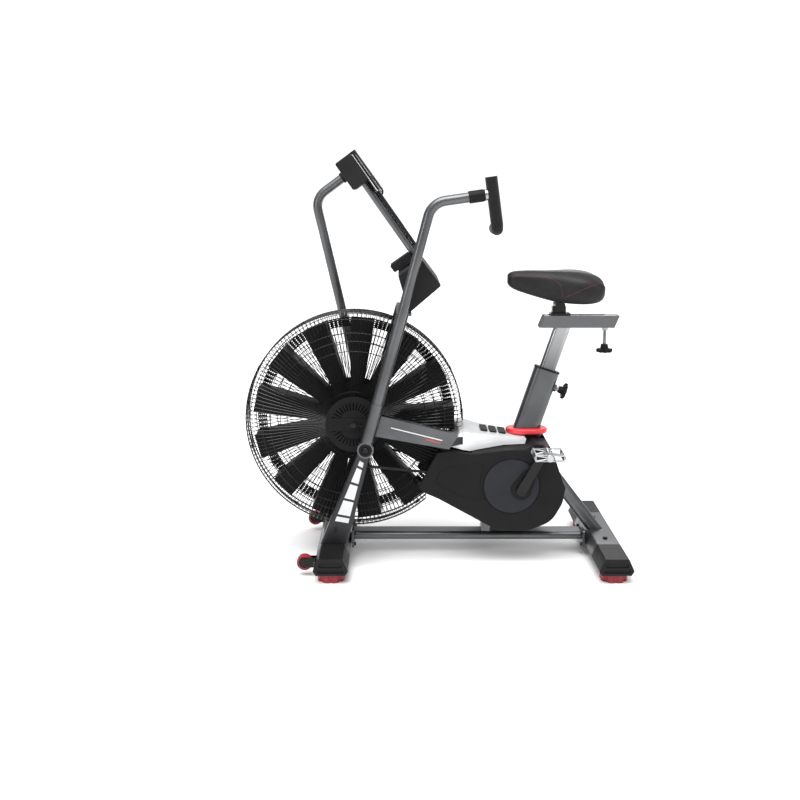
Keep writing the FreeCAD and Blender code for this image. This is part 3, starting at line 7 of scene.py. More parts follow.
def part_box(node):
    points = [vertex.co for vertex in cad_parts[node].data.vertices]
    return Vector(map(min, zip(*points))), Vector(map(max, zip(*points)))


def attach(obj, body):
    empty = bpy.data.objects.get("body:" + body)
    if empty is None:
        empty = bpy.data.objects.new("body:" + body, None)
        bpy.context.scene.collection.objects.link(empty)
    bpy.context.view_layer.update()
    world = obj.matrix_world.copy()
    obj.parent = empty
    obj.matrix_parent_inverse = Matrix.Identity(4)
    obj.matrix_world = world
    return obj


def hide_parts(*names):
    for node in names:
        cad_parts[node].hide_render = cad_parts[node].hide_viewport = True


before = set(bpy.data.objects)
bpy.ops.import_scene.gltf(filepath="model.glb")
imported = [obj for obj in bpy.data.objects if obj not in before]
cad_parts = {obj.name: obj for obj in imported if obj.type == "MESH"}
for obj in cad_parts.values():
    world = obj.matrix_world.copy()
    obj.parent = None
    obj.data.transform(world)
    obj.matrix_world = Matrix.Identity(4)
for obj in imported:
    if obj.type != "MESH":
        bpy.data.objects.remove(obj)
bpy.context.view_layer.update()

# Air bike. Everything is in the CAD model's frame: +X to the rear, -Y to the rider's left, +Z up.
mm = 0.001
sides = ((-1, "left"), (1, "right"))
seatLean = math.radians(18.2)   # the post leans back from upright
# the crank's axle, the arms' length and how far the left one leans back from upright
crank = {"x": 295, "z": 266, "long": 160, "lean": math.radians(28.8)}


def hexColor(code):
    channels = [int(code[i:i + 2], 16) / 255 for i in (1, 3, 5)]
    return [c / 12.92 if c <= 0.04045 else ((c + 0.055) / 1.055) ** 2.4 for c in channels] + [1.0]


def deselectAll():
    bpy.ops.object.select_all(action="DESELECT")


def pick(obj):
    deselectAll()
    obj.select_set(True)
    bpy.context.view_layer.objects.active = obj


# materials
print("materials")


def addNode(tree, kind, settings=None, links=None):
    made = tree.nodes.new(kind)
    for key, value in (settings or {}).items():
        if isinstance(key, str) and hasattr(made, key):
            setattr(made, key, value)
        else:
            made.inputs[key].default_value = value
    for socket, source in (links or {}).items():
        tree.links.new(source, made.inputs[socket])
    return made


# dark/light: the two colours the surface drifts between
# patch and grain: noise cells in a metre, so a grain of 1000 has 1 mm cells, seen only close up
# rough: lowest and highest roughness; bump: grain height in metres; relief: share of it that shows
# fixed: plain shader values
finishes = {
    # satin metallic powder coat on the steel frame
    "frameCoat": {"dark": "#525355", "light": "#656668", "patch": 9, "grain": 1400, "rough": (0.30, 0.40),
                  "bump": 0.00002, "fixed": {"Metallic": 0.85, "Coat Weight": 0.25,
                                            "Coat Roughness": 0.25}},
    # the same powder coat in a darker shade, on the uprights and the front foot
    "darkCoat": {"dark": "#2a2a2c", "light": "#37373a", "patch": 9, "grain": 1400, "rough": (0.32, 0.44),
                 "bump": 0.00002, "fixed": {"Metallic": 0.7, "Coat Weight": 0.2,
                                            "Coat Roughness": 0.25}},
    # moulded ABS of the drive shroud, fine spark-eroded grain
    "shroudPlastic": {"dark": "#0d0d0e", "light": "#141416", "patch": 12, "grain": 900,
                      "rough": (0.48, 0.62), "bump": 0.00006, "fixed": {"Specular IOR Level": 0.18}},
    # smoother, slightly blue disc on the shroud
    "discPlastic": {"dark": "#1f2024", "light": "#26272c", "patch": 10, "grain": 1200,
                    "rough": (0.40, 0.52), "bump": 0.00003, "fixed": {"Specular IOR Level": 0.18}},
    # gloss white ABS
    "whiteGloss": {"dark": "#dfe0e2", "light": "#eeeff0", "patch": 8, "grain": 200,
                   "rough": (0.08, 0.16), "bump": 0.00001, "fixed": {"Coat Weight": 0.6,
                                                                   "Coat Roughness": 0.05}},
    # red satin ABS of the collar
    "redPlastic": {"dark": "#c92a35", "light": "#dd3a43", "patch": 14, "grain": 700,
                   "rough": (0.30, 0.42), "bump": 0.00002, "fixed": {}},
    # darker red nylon of the levelling feet
    "redNylon": {"dark": "#7d1720", "light": "#971f29", "patch": 20, "grain": 900,
                 "rough": (0.38, 0.5), "bump": 0.00005, "fixed": {}},
    # matte black polypropylene
    "blackPlastic": {"dark": "#0a0a0b", "light": "#111112", "patch": 14, "grain": 1000,
                     "rough": (0.45, 0.6), "bump": 0.00005, "fixed": {"Specular IOR Level": 0.18}},
    # charcoal ABS of the console and the mast's cover
    "coverPlastic": {"dark": "#171718", "light": "#1f1f20", "patch": 10, "grain": 1000,
                     "rough": (0.5, 0.62), "bump": 0.00004, "fixed": {"Specular IOR Level": 0.18}},
    # dark grey boot moulding
    "bootPlastic": {"dark": "#131314", "light": "#1b1b1c", "patch": 12, "grain": 1000,
                    "rough": (0.36, 0.5), "bump": 0.00004, "fixed": {"Specular IOR Level": 0.18}},
    # dipped black steel wire
    "cageWire": {"dark": "#060607", "light": "#0c0c0d", "patch": 30, "grain": 1500,
                 "rough": (0.3, 0.42), "bump": 0.00001,
                 "fixed": {"Specular IOR Level": 0.18, "Coat Weight": 0.4}},
    # black powder coated sheet of the fan
    "fanSheet": {"dark": "#0a0a0b", "light": "#121213", "patch": 7, "grain": 1300,
                 "rough": (0.4, 0.55), "bump": 0.00004,
                 "fixed": {"Specular IOR Level": 0.18, "Metallic": 0.35}},
    # black satin paint of the cranks and the push rods
    "blackPaint": {"dark": "#0b0b0c", "light": "#131314", "patch": 12, "grain": 1500,
                   "rough": (0.28, 0.4), "bump": 0.00002,
                   "fixed": {"Specular IOR Level": 0.18, "Metallic": 0.4, "Coat Weight": 0.3}},
    # zinc plated fasteners and axles
    "zincSteel": {"dark": "#9a9a9c", "light": "#b8b8ba", "patch": 40, "grain": 2500,
                  "rough": (0.22, 0.38), "bump": 0.00001, "fixed": {"Metallic": 1.0}},
    # cast and machined aluminium of the pedals and pulleys
    "castAluminium": {"dark": "#a5a7a9", "light": "#c4c6c8", "patch": 30, "grain": 1200,
                      "rough": (0.25, 0.4), "bump": 0.00004, "fixed": {"Metallic": 0.95}},
    # drive belt
    "beltRubber": {"dark": "#0c0c0c", "light": "#161616", "patch": 30, "grain": 1600,
                   "rough": (0.6, 0.75), "bump": 0.00008, "fixed": {"Specular IOR Level": 0.18}},
    # soft rubber of the pads and keys
    "padRubber": {"dark": "#0f1011", "light": "#17181a", "patch": 30, "grain": 1500,
                  "rough": (0.55, 0.7), "bump": 0.00008, "fixed": {"Specular IOR Level": 0.18}},
    # closed cell foam of the grips
    "gripFoam": {"dark": "#0e0e0f", "light": "#161617", "patch": 60, "grain": 1800,
                 "rough": (0.68, 0.85), "bump": 0.00016, "relief": 0.5,
                 "fixed": {"Specular IOR Level": 0.18, "Sheen Weight": 0.15}},
    # dark red thread
    "redThread": {"dark": "#6a1f27", "light": "#8c2c36", "patch": 90, "grain": 4000,
                  "rough": (0.6, 0.75), "bump": 0.00006, "fixed": {}},
    # pale print on the frame
    "palePrint": {"dark": "#c9cacc", "light": "#dadbdd", "patch": 15, "grain": 1500,
                  "rough": (0.35, 0.5), "bump": 0.00001, "fixed": {}},
    # smoked window of the console
    "smokedWindow": {"dark": "#0d1112", "light": "#131819", "patch": 10, "grain": 300,
                     "rough": (0.05, 0.1), "bump": 0.000003, "fixed": {"Coat Weight": 1.0,
                                                                     "Coat Roughness": 0.03}},
}


def buildFinish(name, settings):
    made = bpy.data.materials.new(name)
    made.use_nodes = True
    tree = made.node_tree
    shader = tree.nodes["Principled BSDF"]
    place = addNode(tree, "ShaderNodeTexCoord").outputs["Object"]
    drift = addNode(tree, "ShaderNodeTexNoise", {"Scale": settings["patch"], "Detail": 3.0},
                    {"Vector": place}).outputs["Fac"]
    fine = addNode(tree, "ShaderNodeTexNoise", {"Scale": settings["grain"], "Detail": 2.0},
                   {"Vector": place}).outputs["Fac"]
    ramp = addNode(tree, "ShaderNodeValToRGB", {}, {"Fac": drift})
    ramp.color_ramp.elements[0].position = 0.3
    ramp.color_ramp.elements[1].position = 0.7
    ramp.color_ramp.elements[0].color = hexColor(settings["dark"])
    ramp.color_ramp.elements[1].color = hexColor(settings["light"])
    low, high = settings["rough"]
    spread = addNode(tree, "ShaderNodeMapRange", {"To Min": low, "To Max": high}, {"Value": drift})
    bump = addNode(tree, "ShaderNodeBump", {"Strength": settings.get("relief", 0.1),
                                            "Distance": settings["bump"]}, {"Height": fine})
    tree.links.new(ramp.outputs["Color"], shader.inputs["Base Color"])
    tree.links.new(spread.outputs["Result"], shader.inputs["Roughness"])
    tree.links.new(bump.outputs["Normal"], shader.inputs["Normal"])
    for socket, value in settings["fixed"].items():
        shader.inputs[socket].default_value = value
    return made


materials = {name: buildFinish(name, settings) for name, settings in finishes.items()}


def buildBrushed(name, settings):
    # extruded aluminium, drawn lines run along the part
    made = bpy.data.materials.new(name)
    made.use_nodes = True
    tree = made.node_tree
    shader = tree.nodes["Principled BSDF"]
    place = addNode(tree, "ShaderNodeTexCoord").outputs["Object"]
    drawn = addNode(tree, "ShaderNodeMapping", {"Rotation": settings["turn"],
                                                "Scale": settings["stretch"]}, {"Vector": place})
    lines = addNode(tree, "ShaderNodeTexNoise", {"Scale": 900.0, "Detail": 3.0},
                    {"Vector": drawn.outputs["Vector"]}).outputs["Fac"]
    ramp = addNode(tree, "ShaderNodeValToRGB", {}, {"Fac": lines})
    ramp.color_ramp.elements[0].color = hexColor(settings["dark"])
    ramp.color_ramp.elements[1].color = hexColor(settings["light"])
    spread = addNode(tree, "ShaderNodeMapRange", {"To Min": 0.22, "To Max": 0.40}, {"Value": lines})
    bump = addNode(tree, "ShaderNodeBump", {"Strength": 1.0, "Distance": 0.00002}, {"Height": lines})
    tree.links.new(ramp.outputs["Color"], shader.inputs["Base Color"])
    tree.links.new(spread.outputs["Result"], shader.inputs["Roughness"])
    tree.links.new(bump.outputs["Normal"], shader.inputs["Normal"])
    shader.inputs["Metallic"].default_value = 1.0
    if "paintedShade" in settings:
        # painted shade: the post's colour darkens towards its lower end, standing in for the dim reflection
        # low on the post
        level = addNode(tree, "ShaderNodeSeparateXYZ", {}, {"Vector": place}).outputs["Z"]
        low, high = settings["paintedShade"]
        paintedShade = addNode(tree, "ShaderNodeMapRange", {"From Min": low, "From Max": high, "To Min": 0.28,
                                                    "To Max": 1.0}, {"Value": level}).outputs["Result"]
        mixed = addNode(tree, "ShaderNodeMix", {"data_type": "RGBA", "blend_type": "MULTIPLY",
                                                "Factor": 1.0})
        tree.links.new(ramp.outputs["Color"], mixed.inputs["A"])
        tree.links.new(paintedShade, mixed.inputs["B"])
        tree.links.new(mixed.outputs["Result"], shader.inputs["Base Color"])
    return made


# the post's colour carries painted shade, darker towards its lower end
materials["brushedPost"] = buildBrushed("brushedPost", {
    "dark": "#a2a3a5", "light": "#bebfc1", "turn": (0, seatLean, 0), "stretch": (1, 1, 0.03),
    "paintedShade": (0.64, 0.79)})
materials["brushedRail"] = buildBrushed("brushedRail", {
    "dark": "#5f6062", "light": "#77787a", "turn": (0, 0, 0), "stretch": (0.03, 1, 1)})


def buildLeather(name):
    # black synthetic leather: pebbled grain over soft creases
    made = bpy.data.materials.new(name)
    made.use_nodes = True
    tree = made.node_tree
    shader = tree.nodes["Principled BSDF"]
    place = addNode(tree, "ShaderNodeTexCoord").outputs["Object"]
    cells = addNode(tree, "ShaderNodeTexVoronoi", {"Scale": 520.0, "feature": "SMOOTH_F1"},
                    {"Vector": place}).outputs["Distance"]
    folds = addNode(tree, "ShaderNodeTexNoise", {"Scale": 60.0, "Detail": 5.0},
                    {"Vector": place}).outputs["Fac"]
    height = addNode(tree, "ShaderNodeMath", {"operation": "MULTIPLY_ADD", 1: 0.35},
                     {0: folds, 2: cells}).outputs["Value"]
    ramp = addNode(tree, "ShaderNodeValToRGB", {}, {"Fac": folds})
    ramp.color_ramp.elements[0].position = 0.3
    ramp.color_ramp.elements[1].position = 0.75
    ramp.color_ramp.elements[0].color = hexColor("#100f10")
    ramp.color_ramp.elements[1].color = hexColor("#1a191a")
    spread = addNode(tree, "ShaderNodeMapRange", {"To Min": 0.42, "To Max": 0.6}, {"Value": cells})
    bump = addNode(tree, "ShaderNodeBump", {"Strength": 0.8, "Distance": 0.00022}, {"Height": height})
    tree.links.new(ramp.outputs["Color"], shader.inputs["Base Color"])
    tree.links.new(spread.outputs["Result"], shader.inputs["Roughness"])
    tree.links.new(bump.outputs["Normal"], shader.inputs["Normal"])
    shader.inputs["Specular IOR Level"].default_value = 0.3
    return made


materials["saddleLeather"] = buildLeather("saddleLeather")

nodeFinishes = {
    "frameCoat": ["rear_stabiliser", "base_rail", "rail_brackets", "side_beams", "seat_frame", "rear_strut",
                  "left_handle", "right_handle", "mast"],
    "darkCoat": ["front_stabiliser", "left_upright", "right_upright"],
    "bootPlastic": ["stabiliser_boots"],
    "blackPlastic": ["hub_covers", "seat_bush", "collar_base"],
    "coverPlastic": ["mast_strip", "mast_block", "mast_cover", "console_housing"],
    "shroudPlastic": ["left_shroud", "right_shroud"],
    "discPlastic": ["shroud_discs"],
    "whiteGloss": ["top_cover"],
    "padRubber": ["step_pads", "start_button", "mode_button"],
    "redPlastic": ["seat_collar"],
    "redNylon": ["front_left_leveller", "front_right_leveller", "rear_left_leveller",
                 "rear_right_leveller", "left_wheel", "right_wheel"],
    "fanSheet": ["fan_hub"],
    "zincSteel": ["fan_axle"],
    "castAluminium": ["fan_pulley", "crank_pulley", "left_pedal", "right_pedal"],
    "beltRubber": ["drive_belt"],
    "blackPaint": ["crank_axle", "wheel_forks", "left_crank", "right_crank", "left_rod", "right_rod",
                   "saddle_clamp", "frame_bolts"],
    "brushedPost": ["seat_post"],
    "brushedRail": ["saddle_rail"],
    "smokedWindow": ["console_screen"],
}
for finish, names in nodeFinishes.items():
    for name in names:
        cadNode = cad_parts[name]
        cadNode.data.materials.clear()
        cadNode.data.materials.append(materials[finish])


# building helpers
# applies what is left to apply, then gives the piece its material and its body
def settle(obj, settings):
    obj.name = settings["name"]
    pick(obj)
    bpy.ops.object.transform_apply(location=True, rotation=True, scale=True)
    bpy.ops.object.mode_set(mode="EDIT")
    bpy.ops.mesh.select_all(action="SELECT")
    bpy.ops.mesh.normals_make_consistent(inside=False)
    bpy.ops.object.mode_set(mode="OBJECT")
    bpy.ops.object.shade_smooth_by_angle(angle=math.radians(settings.get("smooth", 35)))
    obj.data.materials.clear()
    obj.data.materials.append(materials[settings["material"]])
    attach(obj, settings["body"])
    deselectAll()
    return obj


def applyModifier(obj, kind, settings):
    pick(obj)
    added = obj.modifiers.new(kind.lower(), kind)
    for key, value in settings.items():
        setattr(added, key, value)
    bpy.ops.object.modifier_apply(modifier=added.name)


def joinPieces(parts):
    deselectAll()
    for part in parts:
        part.select_set(True)
    bpy.context.view_layer.objects.active = parts[0]
    bpy.ops.object.join()
    return bpy.context.view_layer.objects.active


# round bar along each path of points
def sweep(paths, settings):
    curve = bpy.data.curves.new(settings["name"], "CURVE")
    curve.dimensions = "3D"
    curve.bevel_depth = settings["radius"]
    curve.bevel_resolution = settings.get("sides", 1)
    curve.use_fill_caps = not settings.get("closed", False)
    for path in paths:
        spline = curve.splines.new("POLY")
        spline.points.add(len(path) - 1)
        for point, at in zip(spline.points, path):
            point.co = (at[0], at[1], at[2], 1)
        spline.use_cyclic_u = settings.get("closed", False)
    obj = bpy.data.objects.new(settings["name"], curve)
    bpy.context.scene.collection.objects.link(obj)
    pick(obj)
    bpy.ops.object.convert(target="MESH")
    return bpy.context.view_layer.objects.active


# turns a (radius, height) profile about the piece's own Z and stands it at its place
def turned(profile, settings):
    mesh = bpy.data.meshes.new(settings["name"])
    mesh.from_pydata([(r, 0, z) for r, z in profile], [(i, i + 1) for i in range(len(profile) - 1)], [])
    obj = bpy.data.objects.new(settings["name"], mesh)
    bpy.context.scene.collection.objects.link(obj)
    applyModifier(obj, "SCREW", {"angle": math.tau, "steps": settings.get("steps", 40),
                                 "render_steps": settings.get("steps", 40),
                                 "use_merge_vertices": True, "merge_threshold": 0.00001})
    obj.matrix_world = settings["place"]
    return obj


def standAt(at, axis):
    return Matrix.Translation(at) @ Vector(axis).to_track_quat("Z", "Y").to_matrix().to_4x4()


def roundedBlock(settings):
    bpy.ops.mesh.primitive_cube_add(size=1)
    obj = bpy.context.view_layer.objects.active
    obj.scale = settings["size"]
    pick(obj)
    bpy.ops.object.transform_apply(location=False, rotation=False, scale=True)
    applyModifier(obj, "BEVEL", {"width": settings["bevel"], "segments": 3})
    obj.matrix_world = settings["place"]
    return obj


# cage
print("cage")
hubLow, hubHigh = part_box("hub_covers")
fanCentre = (hubLow + hubHigh) / 2
cageHalf = hubHigh.y - 10 * mm
# outline of the gap left for the shroud
notchCorners = [(-70, 252), (20, 190), (180, 190), (180, 466), (30, 466), (30, 408)]


def inNotch(x, z):
    inside = False
    for i, (x1, z1) in enumerate(notchCorners):
        x0, z0 = notchCorners[i - 1]
        if (z0 > z / mm) != (z1 > z / mm) and x / mm < (x1 - x0) * (z / mm - z0) / (z1 - z0) + x0:
            inside = not inside
    return inside


def cagePoint(side, radius, out, angle):
    return Vector((fanCentre.x + radius * mm * math.cos(angle), side * out * mm,
                   fanCentre.z + radius * mm * math.sin(angle)))


# splits a path into the runs that stay clear of the shroud's notch
def openRuns(points, closed):
    runs, run = [], []
    for point in points:
        if inNotch(point.x, point.z):
            if len(run) > 1:
                runs.append(run)
            run = []
        else:
            run.append(point)
    if len(run) > 1:
        runs.append(run)
    if closed and len(runs) > 1:
        runs[0] = runs.pop() + runs[0]
    return runs


# one wire, as (radius, distance out from the middle)
wireShape = [(90, 110.4), (250, 110.4), (262, 110), (274, 109.2), (286, 108), (298, 106.2), (310, 103.6),
             (322, 100.2), (334, 95.8), (345, 90), (355, 82.5), (363, 73), (368.5, 62), (371.5, 49),
             (372.4, 35), (372.6, 20), (372.6, 3)]
cageSettings = {"count": 156, "wire": 1.25, "ring": 1.5, "rim": 2.6,
                "rings": ((110, 108.4), (247, 108.4), (281, 106.5), (308, 102), (352, 81.5)),
                "rims": ((371, 44), (371, 3.2))}
for side, name in sides:
    wires = []
    for i in range(cageSettings["count"]):
        angle = math.tau * (i + (0.5 if side > 0 else 0)) / cageSettings["count"]
        wires += openRuns([cagePoint(side, radius, out, angle) for radius, out in wireShape], False)
    radial = sweep(wires, {"name": name + "CageWires", "radius": cageSettings["wire"] * mm, "sides": 0})
    rings = []
    for kind in ("rings", "rims"):
        for radius, out in cageSettings[kind]:
            circle = [cagePoint(side, radius, out, math.tau * i / 180) for i in range(180)]
            rings.append((kind, openRuns(circle, True)))
    hoops = [sweep(runs, {"name": name + "Hoop", "sides": 1,
                          "radius": cageSettings["ring" if kind == "rings" else "rim"] * mm})
             for kind, runs in rings]
    cage = joinPieces([radial] + hoops)
    settle(cage, {"name": name + "WireCage", "material": "cageWire", "body": "frame",
                  "slot": "cage_wire", "smooth": 60})
    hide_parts(name + "_cage")

# rim clips that hold the two halves together
clipSettings = {"angles": (152, 172, 118, 62, 28, 196, 236, 272, 306, 4), "radius": 371.5}
clips = []
for angle in clipSettings["angles"]:
    turn = math.radians(angle)
    at = cagePoint(0, clipSettings["radius"], 0, turn)
    clips.append(roundedBlock({"size": (8 * mm, 16 * mm, 14 * mm), "bevel": 2 * mm,
                               "place": Matrix.Translation(at) @ Matrix.Rotation(-turn, 4, "Y")}))
settle(joinPieces(clips), {"name": "cageClips", "material": "blackPlastic", "body": "frame",
                           "slot": "black_plastic"})

# hub clamp block, its axle nuts and the thin ribs beside it, both sides
hubParts, hubBlocks = [], []
for side in (-1, 1):
    face = side * (cageHalf + 10 * mm)
    for radius, low, high, steps in ((7, 0, 13, 32), (11, 2, 9, 6)):
        hubParts.append(turned([(0, low * mm), (radius * mm, low * mm), (radius * mm, high * mm),
                                (0, high * mm)],
                               {"name": "axleNut", "steps": steps,
                                "place": standAt((fanCentre.x, face, fanCentre.z), (0, side, 0))}))
    tilt = Matrix.Rotation(math.radians(14), 4, "Y")
    for across, wide, tall, thick in ((-44, 60, 5, 4), (0, 50, 36, 3), (44, 60, 5, 4)):
        hubBlocks.append(roundedBlock({
            "size": (wide * mm, thick * mm, tall * mm), "bevel": 1.2 * mm,
            "place": Matrix.Translation((fanCentre.x, face, fanCentre.z)) @ tilt
            @ Matrix.Translation((across * mm, 0, 0))}))
settle(joinPieces(hubParts), {"name": "axleNuts", "material": "blackPaint", "body": "frame",
                              "slot": "bright_steel", "smooth": 25})
settle(joinPieces(hubBlocks), {"name": "hubBlocks", "material": "blackPlastic", "body": "frame",
                               "slot": "black_plastic"})

# fan
print("fan")
fanSettings = {"root": 116, "tip": 343, "rootWide": 44, "tipWide": 82, "deep": 119.6, "count": 13,
               "first": 25.8, "sheet": 2}


# one folded wedge of sheet, open at its tip, whose two walls are fan blades
def bladeBox(angle):
    s = fanSettings
    bpy.ops.mesh.primitive_cube_add(size=1)
    obj = bpy.context.view_layer.objects.active
    bpy.ops.object.mode_set(mode="EDIT")
    shape = bmesh.from_edit_mesh(obj.data)
    for vert in shape.verts:
        tip = vert.co.x > 0
        half = (s["tipWide"] if tip else s["rootWide"]) / 2 * mm
        vert.co = ((s["tip"] if tip else s["root"]) * mm, math.copysign(s["deep"] / 2 * mm, vert.co.y),
                   math.copysign(half, vert.co.z))
    tipFaces = [face for face in shape.faces if all(v.co.x > 0.3 for v in face.verts)]
    bmesh.ops.delete(shape, geom=tipFaces, context="FACES")
    bmesh.update_edit_mesh(obj.data)
    bpy.ops.object.mode_set(mode="OBJECT")
    applyModifier(obj, "SOLIDIFY", {"thickness": s["sheet"] * mm, "offset": -1})
    applyModifier(obj, "BEVEL", {"width": 0.8 * mm, "segments": 2})
    obj.matrix_world = Matrix.Translation(fanCentre) @ Matrix.Rotation(angle, 4, "Y")
    return obj


boxes = [bladeBox(math.radians(fanSettings["first"] + i * 360 / fanSettings["count"]))
         for i in range(fanSettings["count"])]

# perforated tie ring behind the blades: a flat grid bent round, with cells knocked out in staggered rows
ringSettings = {"inner": 311, "outer": 343, "rows": 9, "columns": 576, "out": 60.6, "thick": 1.2}
bpy.ops.mesh.primitive_grid_add(x_subdivisions=ringSettings["columns"],
                                y_subdivisions=ringSettings["rows"], size=1)
tieRing = bpy.context.view_layer.objects.active
bpy.ops.object.mode_set(mode="EDIT")
shape = bmesh.from_edit_mesh(tieRing.data)
holes = []
for face in shape.faces:
    middle = face.calc_center_median()
    column = math.floor((middle.x + 0.5) * ringSettings["columns"])
    row = math.floor((middle.y + 0.5) * ringSettings["rows"])
    if row % 2 == 1 and (column + row // 2 * 2) % 4 == (row // 2 % 2) * 2:
        holes.append(face)
bmesh.ops.delete(shape, geom=holes, context="FACES")
for vert in shape.verts:
    angle = math.tau * (vert.co.x + 0.5)
    radius = (ringSettings["inner"] + (vert.co.y + 0.5)
              * (ringSettings["outer"] - ringSettings["inner"])) * mm
    vert.co = (fanCentre.x + radius * math.cos(angle), ringSettings["out"] * mm,
               fanCentre.z + radius * math.sin(angle))
bmesh.ops.remove_doubles(shape, verts=shape.verts, dist=0.00002)
bmesh.update_edit_mesh(tieRing.data)
bpy.ops.object.mode_set(mode="OBJECT")
applyModifier(tieRing, "SOLIDIFY", {"thickness": ringSettings["thick"] * mm, "offset": 0})
fan = joinPieces(boxes + [tieRing])
settle(fan, {"name": "fanWheel", "material": "fanSheet", "body": "fan", "slot": "fan_sheet"})
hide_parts("fan_blades")

# saddle
print("saddle")
# each station: along, half width, top, height of the widest line, underside
saddleStations = [
    (249, 14, 978, 962, 948), (255, 26, 986, 962, 938), (272, 33, 991, 960, 928), (300, 38, 993, 954, 918),
    (340, 43, 994, 946, 906), (375, 52, 994, 938, 896), (405, 69, 995, 932, 889), (435, 88, 996, 928, 885),
    (468, 104, 997, 926, 883), (505, 111, 994, 926, 882), (535, 110, 986, 928, 885),
    (556, 101, 974, 930, 892), (567, 83, 960, 932, 903), (571, 60, 950, 932, 914)]


# points round one cross section, from the middle of the top down the left side and back
def saddleRing(station):
    along, half, top, wide, under = station
    dip = 7 * max(0, min(1, (along - 330) / 80))
    section = [(0, top - dip), (0.22, top - dip * 0.5), (0.5, top - 1), (0.78, top - 9 - half * 0.08),
               (0.96, (top + wide) / 2 + 2), (1.0, wide), (0.95, (wide + under) / 2 - 4),
               (0.80, under + 3), (0.45, under), (0, under)]
    ring = [(across * half, height) for across, height in section]
    return ring + [(-across, height) for across, height in ring[-2:0:-1]]


rings = [[Vector((station[0] * mm, across * mm, height * mm)) for across, height in saddleRing(station)]
         for station in saddleStations]
around = len(rings[0])
corners = [point for ring in rings for point in ring]
faces = [(i * around + j, i * around + (j + 1) % around, (i + 1) * around + (j + 1) % around,
          (i + 1) * around + j) for i in range(len(rings) - 1) for j in range(around)]
faces += [list(range(around)), list(range((len(rings) - 1) * around, len(rings) * around))[::-1]]
mesh = bpy.data.meshes.new("saddlePad")
mesh.from_pydata(corners, [], faces)
saddle = bpy.data.objects.new("saddlePad", mesh)
bpy.context.scene.collection.objects.link(saddle)
pick(saddle)
applyModifier(saddle, "SUBSURF", {"levels": 3, "render_levels": 3})
settle(saddle, {"name": "saddlePad", "material": "saddleLeather", "body": "carriage",
                "slot": "saddle_cover", "smooth": 80})
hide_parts("saddle")


# nearest point of the saddle's cover, lifted clear of it
def onSaddle(x, y, z):
    found, at, normal, face = saddle.closest_point_on_mesh(Vector((x, y, z)) * mm)
    return at + normal * 0.3 * mm


# short stitches along a line that lies on the cover
def stitchLine(points, length, gap):
    stitches, walked, current = [], 0.0, []
    for start, end in zip(points, points[1:]):
        steps = max(1, round((end - start).length / (0.8 * mm)))
        for i in range(steps):
            at = start.lerp(end, i / steps)
            if walked % (length + gap) < length:
                current.append(at)
            elif current:
                stitches.append(current)
                current = []
            walked += (end - start).length / steps
    return [stitch for stitch in stitches if len(stitch) > 1]


seams = []
for side in (-1, 1):
    nose = [(262, 30, 972), (300, 45, 984), (340, 52, 984), (370, 62, 980), (395, 75, 970), (412, 90, 950),
            (418, 90, 925), (419, 85, 905)]
    wing = [(424, 92, 905), (450, 110, 920), (490, 130, 942), (530, 135, 962), (552, 110, 972),
            (566, 60, 966), (570, 20, 958), (570, 0, 957)]
    for guide in (nose, wing):
        fine = []
        for (x0, y0, z0), (x1, y1, z1) in zip(guide, guide[1:]):
            fine += [onSaddle(x0 + (x1 - x0) * i / 12, side * (y0 + (y1 - y0) * i / 12),
                              z0 + (z1 - z0) * i / 12) for i in range(12)]
        seams += stitchLine(fine, 3.6 * mm, 1.4 * mm)
thread = sweep(seams, {"name": "saddleThread", "radius": 0.55 * mm, "sides": 0})
settle(thread, {"name": "saddleThread", "material": "redThread", "body": "carriage",
                "slot": "saddle_cover", "smooth": 60})

# grips
print("grips")
arm = {"x": -229, "y": 222, "z": 424, "straight": 783, "bend": 65, "turn": 66.9, "end": 136,
       "lean": {-1: 15, 1: -13}}


# place on a grip: across the arm's end, along it from the tip, and in towards the rider
def gripPoint(side, up, along, inward=0):
    turn, lean = math.radians(arm["turn"]), math.radians(arm["lean"][side])
    x = arm["bend"] * (1 - math.cos(turn)) + (arm["end"] + along) * math.sin(turn) - up * math.cos(turn)
    z = (arm["straight"] + arm["bend"] * math.sin(turn) + (arm["end"] + along) * math.cos(turn)
         + up * math.sin(turn))
    return Vector((arm["x"] + x * math.cos(lean) + z * math.sin(lean), side * (arm["y"] - inward),
                   arm["z"] - x * math.sin(lean) + z * math.cos(lean))) * mm


